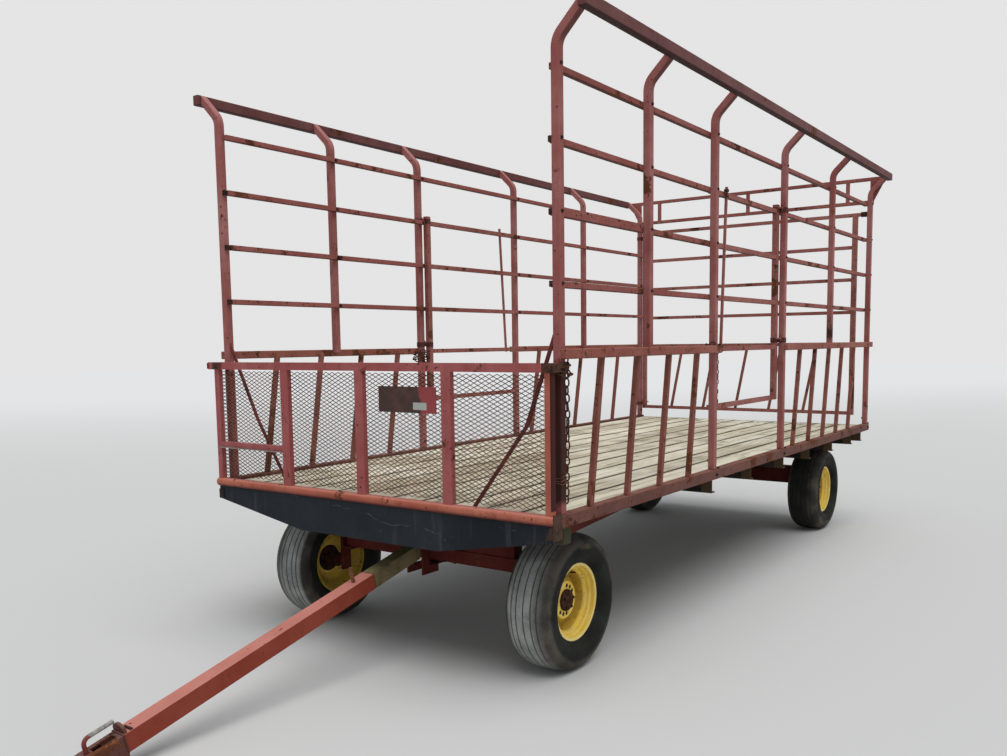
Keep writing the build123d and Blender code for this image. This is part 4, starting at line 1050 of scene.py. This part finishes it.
tangle += chain(hanging((door_front_x + 0.05, -post_y + 0.03, mid_z - 0.02),
                        (door_front_x - 0.11, -post_y + 0.03, mid_z - 0.02), 0.07), 31)
add_piece("door_chain_right", tangle, chain_rust, "chassis")
print("chain links", len(chains) + len(door_chain) + len(tangle))

# %% [markdown]
# ## Bolts
# Bolts hold the rails to the posts. A bolt head is a six-sided outline carried a short way along
# its own axis, with a washer under it. Rows of them come from the posts and rails they join.

# %% Bolts
HEAD = 9 * MM
post_in_y = post_y - HALF_POST
post_out_y = post_y + HALF_POST
rail_in_y = post_in_y - 30 * MM
FULL_POSTS = (2, 3, 5)      # the posts behind the first that stand on the deck
UPPER_RAILS = (3.041, 2.711, 2.382, 2.051)      # heights of the rails' middles
SIDES = (1.0, -1.0)


def bolt(point, direction, size=HEAD):
    """A washer and a six-sided head standing on a surface."""
    point, direction = np.asarray(point, float), unit(np.asarray(direction, float))
    up = (0.0, 1.0, 0.0) if abs(direction[2]) > 0.9 else (0.0, 0.0, 1.0)
    washer = swept(circle(size * 1.25, 14), [point, point + direction * 0.0025], up)
    head = swept(circle(size, 6), [point, point + direction * (0.0025 + size * 0.75)], up)
    return [washer, head]


rail_bolts, clips, foot_bolts = [], [], []
for side in SIDES:
    for number, x in enumerate(post_x):
        for z in UPPER_RAILS:
            rail_bolts += bolt((x, side * post_out_y, z), (0, side, 0), HEAD * 0.8)
            if number > 0:
                rail_bolts += bolt((x, side * rail_in_y, z), (0, -side, 0))
    for z in UPPER_RAILS[1:]:
        clips.append(block((front_post_x - 0.0075, front_post_x + 0.014),
                           span(side * (post_in_y - 0.0115), 0.011), span(z, 0.014)))
    for x in (post_x[number] for number in FULL_POSTS):
        behind = (x - HALF_POST - 0.03, side * (post_out_y - 0.004), edge_high[2])
        foot_bolts += bolt(behind, (0, 0, 1))
        foot_bolts += bolt((x + 0.004, side * post_in_y, edge_high[2] + 0.055), (0, -side, 0))
        foot_bolts += bolt((x - 0.004, side * edge_high[1], edge_low[2] + 0.03), (0, side, 0))
add_piece("rail_bolts", rail_bolts, bolt_dark, "chassis", 25.0)
add_piece("rail_end_clips", clips, strap_black, "chassis", 25.0)
add_piece("post_foot_bolts", foot_bolts, bolt_dark, "chassis", 25.0)
print("bolts", (len(rail_bolts) + len(foot_bolts)) // 2)

# %% [markdown]
# ## Straps and brackets of the rack
# Straps wrap the posts where the gates hinge, and rusty brackets, plates and a wire tie hold the
# front corner together. Most of them are short boxes on the faces of the frame's parts.

# %% Straps and brackets of the rack
def square_loop(x, y, half, corner, steps=3):
    """Points round a square tube of a half width, with rounded corners."""
    return rounded(rectangle(2 * half, 2 * half), corner, steps) + (x, y)


STRAP_H, STRAP_T, STRAP_GAP = 34 * MM, 3 * MM, 0.6 * MM


def square_band(x, y, z, half):
    """A flat strap bent round a tube: a thin upright rectangle carried round a square loop."""
    path = square_loop(x, y, half + STRAP_GAP + STRAP_T / 2, 0.008)
    path = np.column_stack([path, np.full(len(path), z)])
    return swept(rectangle(STRAP_T, STRAP_H), path, closed=True)


SIDE_HINGES, REAR_HINGES = (2.737, 1.787), (2.913, 1.104)       # heights of the hinges
HINGE_DROP = 12 * MM        # a strap's middle below its hinge
HALF_STILE = 20 * MM
STILE_OFF = 54 * MM       # middle of a side gate's stile from the middle of its post
gate_y = post_y - 42 * MM   # side gates hang inside the line of the posts
bands = []
for x, y, heights in ((door_rear_x, post_y, SIDE_HINGES), (door_front_x, -post_y, SIDE_HINGES),
                      (rear_post_x, -post_y, REAR_HINGES)):
    bands += [square_band(x, y, z - HINGE_DROP, HALF_POST) for z in heights]
add_piece("hinge_bands", bands, hinge_maroon, "chassis", 30.0)
for name, x, side in (("left", door_rear_x + STILE_OFF, 1.0),
                      ("right", door_front_x - STILE_OFF, -1.0)):
    straps = [square_band(x, side * gate_y, z - HINGE_DROP, HALF_STILE) for z in SIDE_HINGES]
    add_piece(f"side_gate_{name}_straps", straps, hinge_maroon, f"side_gate_{name}", 30.0)

PANEL_RAIL_H = 44 * MM
STEP_END_Y = -0.637         # where the short step meets the first upright bar
STEP_LIFT = 0.222           # the step's underside above the deck
front_face, rail_mid = panel_high[0], panel_high[2] - PANEL_RAIL_H / 2
end_bracket = [
    block(span(front_face + 0.003, 0.003), (post_y - 0.022, post_y + 0.028), span(rail_mid, 0.023)),
    block((front_post_x - 0.026, front_face - 0.004), span(post_y + 0.03, 0.003),
          span(rail_mid, PANEL_RAIL_H / 2)),
    block(span(front_face + 0.002, 0.002), (-post_y - 0.018, -post_y + 0.05), span(rail_mid, 0.021)),
]
for x, y, z in ((0.006, post_y - 0.004, 0.008), (0.006, post_y + 0.018, -0.008),
                (0.004, -post_y + 0.012, 0)):
    end_bracket += bolt((front_face + x, y, rail_mid + z), (1, 0, 0), 0.0075)
add_piece("panel_rail_brackets", end_bracket, bracket_rust, "chassis", 25.0)
splice = block(span(front_face + 0.0022, 0.002), (post_y - 0.105, post_y - 0.026),
               span(rail_mid, 0.0205))
add_piece("panel_rail_splice", [splice], panel_paint, "chassis", 25.0)
# A dark plate just inside the rail's open end: painted shade for the inside of the tube.
rail_end_shade = block(span(front_face - 0.015, 0.011), (panel_low[1] + 0.0003, panel_low[1] + 0.004),
                 span(rail_mid, 0.018))
add_piece("panel_rail_open_end_shade", [rail_end_shade], bolt_dark, "chassis")
step_lip = block(span(front_face - 0.01, 0.017), (-post_y + 0.02, STEP_END_Y),
                 span(deck_top + STEP_LIFT - 0.003, 0.002))
add_piece("step_lower_lip", [step_lip], handle_steel, "chassis", 25.0)

# A flat plate with one slanted edge in the plane of the front plate, and one that closes the side.
CORNER = np.array([(1.196, 0.846), (1.254, 0.848), (1.254, 0.912), (1.24, 0.912), (1.222, 0.912)])
TUBE_AHEAD = 0.085          # the tube's middle ahead of the front posts
corner_front = np.column_stack([np.full(len(CORNER), plate_high[0] + 0.0003), CORNER])
side_plate_y = max(panel_high[1], edge_high[1]) + 0.0026
corner_side = block((front_post_x + 0.038, front_post_x + TUBE_AHEAD + TUBE_R + 0.002),
                    span(side_plate_y, 0.00225), (0.846, 0.972))
corner_plates = [slab(corner_front, (0.005, 0.0, 0.0)), corner_side]
add_piece("front_corner_plate", corner_plates, corner_rust, "chassis", 25.0)
box_end = block((plate_high[0] - 0.06, plate_high[0] + 0.006), (-edge_high[1], -edge_high[1] + 0.04),
                (0.836, 0.894))
add_piece("front_plate_box_end", [box_end], strap_black, "chassis")


def side_gusset(side):
    """A long thin triangle under the edge rail: its depth falls evenly to nothing backwards."""
    top, tip_x, start_x, deep = edge_low[2] - 0.0003, front_post_x - 0.95, front_post_x - 0.13, 0.06
    corners = np.array([(start_x, top), (start_x, top - deep), (tip_x, top - 0.001), (tip_x, top)])
    inner = np.column_stack([corners[:, 0], np.full(4, side * (post_y - 0.036)), corners[:, 1]])
    return slab(inner, (0.0, side * 0.005, 0.0))


add_piece("edge_rail_gussets", [side_gusset(side) for side in SIDES], axle_paint, "chassis", 25.0)

WIRE = circle(0.0017, 6)
wire = []
for z in (1.118, 1.132, 1.146):
    loop = square_loop(front_post_x, post_y, HALF_POST + 0.004, 0.012)
    tilt = 0.012 * np.sin(np.linspace(0, 2 * pi, len(loop), endpoint=False) + z * 40)
    wire.append(swept(WIRE, np.column_stack([loop, z + tilt]), closed=True))
tail = hanging((front_post_x + 0.02, post_y + 0.03, 1.14), (front_post_x - 0.05, post_y + 0.05, 1.1),
               0.02, 9)
wire.append(swept(WIRE, tail, up=(0.0, 1.0, 0.0)))
add_piece("wire_tie", wire, pin_rust, "chassis")

# %% [markdown]
# ## Latches on the gates
# A thin rod locks the near gate: it slides in rusty sleeves on the gate's rails and turns with
# it, so its sleeves ride on the gate. The rear gate has a latch plate with two bolts by its free
# stile.

# %% Latches
GATE_FREE_X = door_front_x - HALF_POST - 8 * MM
ROD_TOP = (GATE_FREE_X - 0.225, gate_y + 0.015, 2.761)
ROD_LOW = (GATE_FREE_X - 0.15, gate_y + 0.015, 1.703)


def on_rod(z):
    """The point of the lock rod at a height: a straight line between its two ends."""
    top, low = np.array(ROD_TOP), np.array(ROD_LOW)
    t = (top[2] - z) / (top[2] - low[2])
    return top * (1 - t) + low * t


sleeves = []
for z in (2.738, 2.702, 1.742, 1.712):
    point = on_rod(z)
    ends = point - (0, 0, 0.008), point + (0, 0, 0.008)
    sleeves.append(bar(*ends, 0.026, 0.024, up=(1.0, 0.0, 0.0)))
    sleeves += bolt(point + (0.018, 0.004, 0), (0, 1, 0), 0.006)
for z, reach, width in ((2.72, 0.055, 0.022), (1.73, 0.05, 0.024)):
    start = on_rod(z) + (0.0, 0.004, 0)
    sleeves.append(bar(start, start + (reach, 0, 0), width, 0.007))
add_piece("side_gate_left_sleeves", sleeves, bracket_rust, "side_gate_left", 25.0)
LATCH_Z = 2.957
latch_y, rear_mid_x = post_y - 0.14, rear_post_x - 0.025
latch = [bar((rear_mid_x, latch_y + 0.055, LATCH_Z), (rear_mid_x, latch_y + 0.115, LATCH_Z),
             0.04, 0.044)]
for y in (0.068, 0.098):
    latch += bolt((rear_mid_x + 0.02, latch_y + y, LATCH_Z), (1, 0, 0), 0.008)
add_piece("rear_gate_latches", latch, bracket_rust, "rear_gate", 25.0)
print("parts of the sleeves and latch", len(sleeves), len(latch))

# %% [markdown]
# ## The tongue's fittings
# The tongue slopes down to the ground, so its fittings are placed in its own line: a distance
# along it, one across it and one square to it, turned by the slope about the hinge.

# %% The tongue's fittings
TONGUE_SLOPE = radians(13.6)
joint = {j["name"]: j for j in frame["joints"]}
hinge = np.array(joint["tongue_lift"]["pos_m"])


def on_tongue(points):
    """Points given along, across and above the tongue's line, turned into the wagon's frame."""
    s, y, h = np.asarray(points, float).T
    x = hinge[0] + s * cos(TONGUE_SLOPE) + h * sin(TONGUE_SLOPE)
    z = hinge[2] - s * sin(TONGUE_SLOPE) + h * cos(TONGUE_SLOPE)
    return np.column_stack([x, y, z])


def tongue_bar(start, end, width, height):
    """A bar along the tongue's own directions: width across it and height square to it."""
    normal = (sin(TONGUE_SLOPE), 0.0, cos(TONGUE_SLOPE))
    return swept(rectangle(width, height), on_tongue([start, end]), up=normal)


HALF_TUBE = 0.043
TUBE_END = 1.966            # the tube's end, along the tongue from its hinge
fittings = [
    tongue_bar((0.25, 0, HALF_TUBE - 0.004), (0.418, 0, HALF_TUBE - 0.004), 0.07, 0.012),
    tongue_bar((0.07, 0, 0.038), (0.23, 0, 0.038), 0.076, 0.008),
]
for y in (-0.0445, 0.0445):
    fittings.append(tongue_bar((0.29, y, 0.0), (0.35, y, 0.0), 0.006, 0.07))
    fittings += bolt(on_tongue([(0.32, y + 0.003 * np.sign(y), 0.0)])[0], (0, np.sign(y), 0), 0.01)
add_piece("inner_tongue_plates", fittings, inner_tongue_paint, "tongue", 25.0)
ring = square_loop(0.0, 0.0, HALF_TUBE + 0.001, 0.006, 2)
ring = on_tongue(np.column_stack([np.full(len(ring), TUBE_END), ring]))
weld = [swept(circle(0.0042, 6), ring, up=(cos(TONGUE_SLOPE), 0, -sin(TONGUE_SLOPE)), closed=True)]
add_piece("tongue_weld", weld, clevis_paint, "tongue", 60.0)


def round_topped_plate():
    """An upright plate across the end of the tube: straight sides and a half circle on top."""
    a = np.linspace(0, pi, 15)
    half, foot, rise = 0.04, HALF_TUBE - 0.004, 0.016
    y = np.concatenate([[half, half], half * np.cos(a), [-half, -half]])
    h = np.concatenate([[foot, foot + rise], foot + rise + 0.03 * np.sin(a), [foot + rise, foot]])
    near, far = (on_tongue(np.column_stack([np.full(len(y), s), y, h])) for s in (1.948, 1.962))
    return slab(near, far[0] - near[0])


add_piece("tongue_end_plate", [round_topped_plate()], clevis_paint, "tongue", 30.0)
cotter = [(1.925, y, HALF_TUBE + 0.004) for y in (-0.012, 0.04)]
pin_bar = swept(circle(0.006, 12), on_tongue(cotter))
add_piece("tube_end_cotter", [pin_bar], bolt_dark, "tongue")


def drop_pin_finish():
    """Red paint on the pin, rubbed to bare steel on the handle: a mask along the pin."""
    finish = Finish("Drop pin red and bare")
    along = finish.attribute("along")
    wear = finish.noise(60.0, 4.0)
    red = finish.mix(wear.rise(0.4, 0.7), (0.19, 0.025, 0.025), (0.11, 0.04, 0.03))
    bare = finish.mix(wear.rise(0.4, 0.7), (0.3, 0.29, 0.275), (0.13, 0.095, 0.075))
    colour = finish.mix((along + (wear - 0.5) * 0.12).rise(0.6, 0.63), red, bare)
    return finish.done(colour, 0.5, wear, 0.0005)


PIN_AT = 2.112
PIN_TOP = 0.104
HANDLE = 0.14
PIN_BEND = 0.028
PIN_SIDES = 16
a = np.linspace(0, pi / 2, 9)
bend_s, bend_h = PIN_AT - PIN_BEND, PIN_TOP - PIN_BEND      # the middle of the bend
along = np.concatenate([np.full(8, PIN_AT), bend_s + PIN_BEND * np.cos(a),
                        np.linspace(bend_s - 0.006, PIN_AT - HANDLE, 9)])
above = np.concatenate([np.linspace(-0.055, bend_h - 0.004, 8), bend_h + PIN_BEND * np.sin(a),
                        np.full(9, PIN_TOP)])
pin_path = np.column_stack([along, 0 * along, above])
pin_part = swept(circle(0.0095, PIN_SIDES), on_tongue(pin_path), up=(0.0, 1.0, 0.0))
runs = np.concatenate([[0], np.cumsum(np.linalg.norm(np.diff(pin_path, axis=0), axis=1))])
drop_pin = add_piece("hitch_drop_pin", [pin_part], drop_pin_finish(), "tongue", 40.0,
                     {"along": np.repeat(runs / runs[-1], PIN_SIDES)})
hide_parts("hitch_pin")
print("parts of the tongue's plates", len(fittings), "points along the drop pin", len(pin_path))

# %% [markdown]
# ## Wheel nuts and valves
# The nuts stand in a ring on each hub's face, inside the disc's opening, and each rim has a valve.

# %% Wheel nuts and valves
STUDS, STUD_CIRCLE, STUD_OUT = 5, 42 * MM, 48.5 * MM
VALVE_CIRCLE, VALVE_ANGLE = 156 * MM, 2.1
for name, wheel in WHEELS.items():
    middle, side = wheel["middle"], wheel["side"]
    nuts = []
    for k in range(STUDS):
        a = 2 * pi * k / STUDS + 0.4
        at = middle + (STUD_CIRCLE * cos(a), side * STUD_OUT, STUD_CIRCLE * sin(a))
        nuts += bolt(at, (0, side, 0), 0.0075)
    valve = middle + (VALVE_CIRCLE * cos(VALVE_ANGLE), side * 0.01, VALVE_CIRCLE * sin(VALVE_ANGLE))
    nuts.append(swept(circle(0.004, 12), [valve, valve + (0.004, side * 0.035, 0.004)]))
    add_piece(f"wheel_{name}_nuts", nuts, bolt_dark, f"wheel_{name}", 25.0)

# %% [markdown]
# ## Floor and light
# The floor and the background are plain and pale. The light is that of an overcast day: a wide,
# even sky and one soft lamp high on the left.

# %% Floor and light
scene = bpy.context.scene
scene.view_settings.view_transform = "Standard"
FLOOR_HALF = 60.0


def floor_finish():
    """Pale floor that takes the wagon's shadow and grows paler far out, where the sky begins."""
    finish = Finish("Floor pale")
    far_off = (abs(finish.x) + abs(finish.y)).rise(6.0, 40.0)
    colour = finish.mix(far_off, (0.6, 0.6, 0.59), (0.735, 0.735, 0.735))
    return finish.done(colour, 0.95, specular=0.0)


corners = np.column_stack([rectangle(2 * FLOOR_HALF, 2 * FLOOR_HALF), np.zeros(4)]).tolist()
floor_mesh = bpy.data.meshes.new("floor")
floor_mesh.from_pydata(corners, [], [[0, 1, 2, 3]])
floor_mesh.materials.append(floor_finish())
floor = put("floor", floor_mesh)

world = bpy.data.worlds.new("Overcast")
scene.world = world
world.use_nodes = True
nodes, link = world.node_tree.nodes, world.node_tree.links.new
sky, backdrop = nodes["Background"], nodes.new("ShaderNodeBackground")
sky.inputs["Color"].default_value = (0.93, 0.96, 1.0, 1.0)
sky.inputs["Strength"].default_value = 0.42
backdrop.inputs["Color"].default_value = (0.78, 0.78, 0.78, 1.0)
rays = nodes.new("ShaderNodeLightPath").outputs
seen = rays["Is Camera Ray"]
for ray in ("Is Glossy Ray", "Is Transmission Ray"):
    most = nodes.new("ShaderNodeMath")
    most.operation = "MAXIMUM"
    link(seen, most.inputs[0])
    link(rays[ray], most.inputs[1])
    seen = most.outputs[0]
choose = nodes.new("ShaderNodeMixShader")
for socket, source in enumerate((seen, sky.outputs[0], backdrop.outputs[0])):
    link(source, choose.inputs[socket])
link(choose.outputs[0], nodes["World Output"].inputs["Surface"])

lamp = bpy.data.lights.new("Soft lamp", "SUN")
lamp.energy = 2.2
lamp.angle = radians(55.0)
put("Soft lamp", lamp).rotation_euler = (radians(20.0), 0.0, radians(150.0))

# %% [markdown]
# ## Camera
# The camera stands where the photograph was taken from, a little ahead of the wagon's left front
# corner at eye height. Its lens and shift come from the photograph's focal length and centre in
# pixels.

# %% Camera
PHOTO_W, PHOTO_H = 1007.0, 756.0
FOCAL_PX = 907.66
CENTRE_PX = (520.21, 435.61)
CAMERA_AHEAD, CAMERA_LEFT, CAMERA_UP = 3.6118, 3.5272, 1.7763
YAW, PITCH, ROLL = radians(215.0867), radians(-5.82), radians(0.7126)

camera = bpy.data.cameras.new("Camera")
camera.sensor_width = 36.0
camera.lens = FOCAL_PX / PHOTO_W * camera.sensor_width
camera.shift_x = -(CENTRE_PX[0] - PHOTO_W / 2) / PHOTO_W
camera.shift_y = (CENTRE_PX[1] - PHOTO_H / 2) / PHOTO_W
camera.clip_end = 200.0
ahead = Vector((cos(PITCH) * cos(YAW), cos(PITCH) * sin(YAW), sin(PITCH)))
right = ahead.cross(Vector((0, 0, 1))).normalized()
down = ahead.cross(right)
image_x = right * cos(ROLL) + down * sin(ROLL)
image_y = down * cos(ROLL) - right * sin(ROLL)
turn = Matrix((image_x, -image_y, -ahead)).transposed().to_4x4()
place = Vector((front_post_x + CAMERA_AHEAD, CAMERA_LEFT, CAMERA_UP))
scene.camera = put("Camera", camera)
scene.camera.matrix_world = Matrix.Translation(place) @ turn
print("camera at", tuple(round(v, 3) for v in place), "lens", round(camera.lens, 2), "mm")
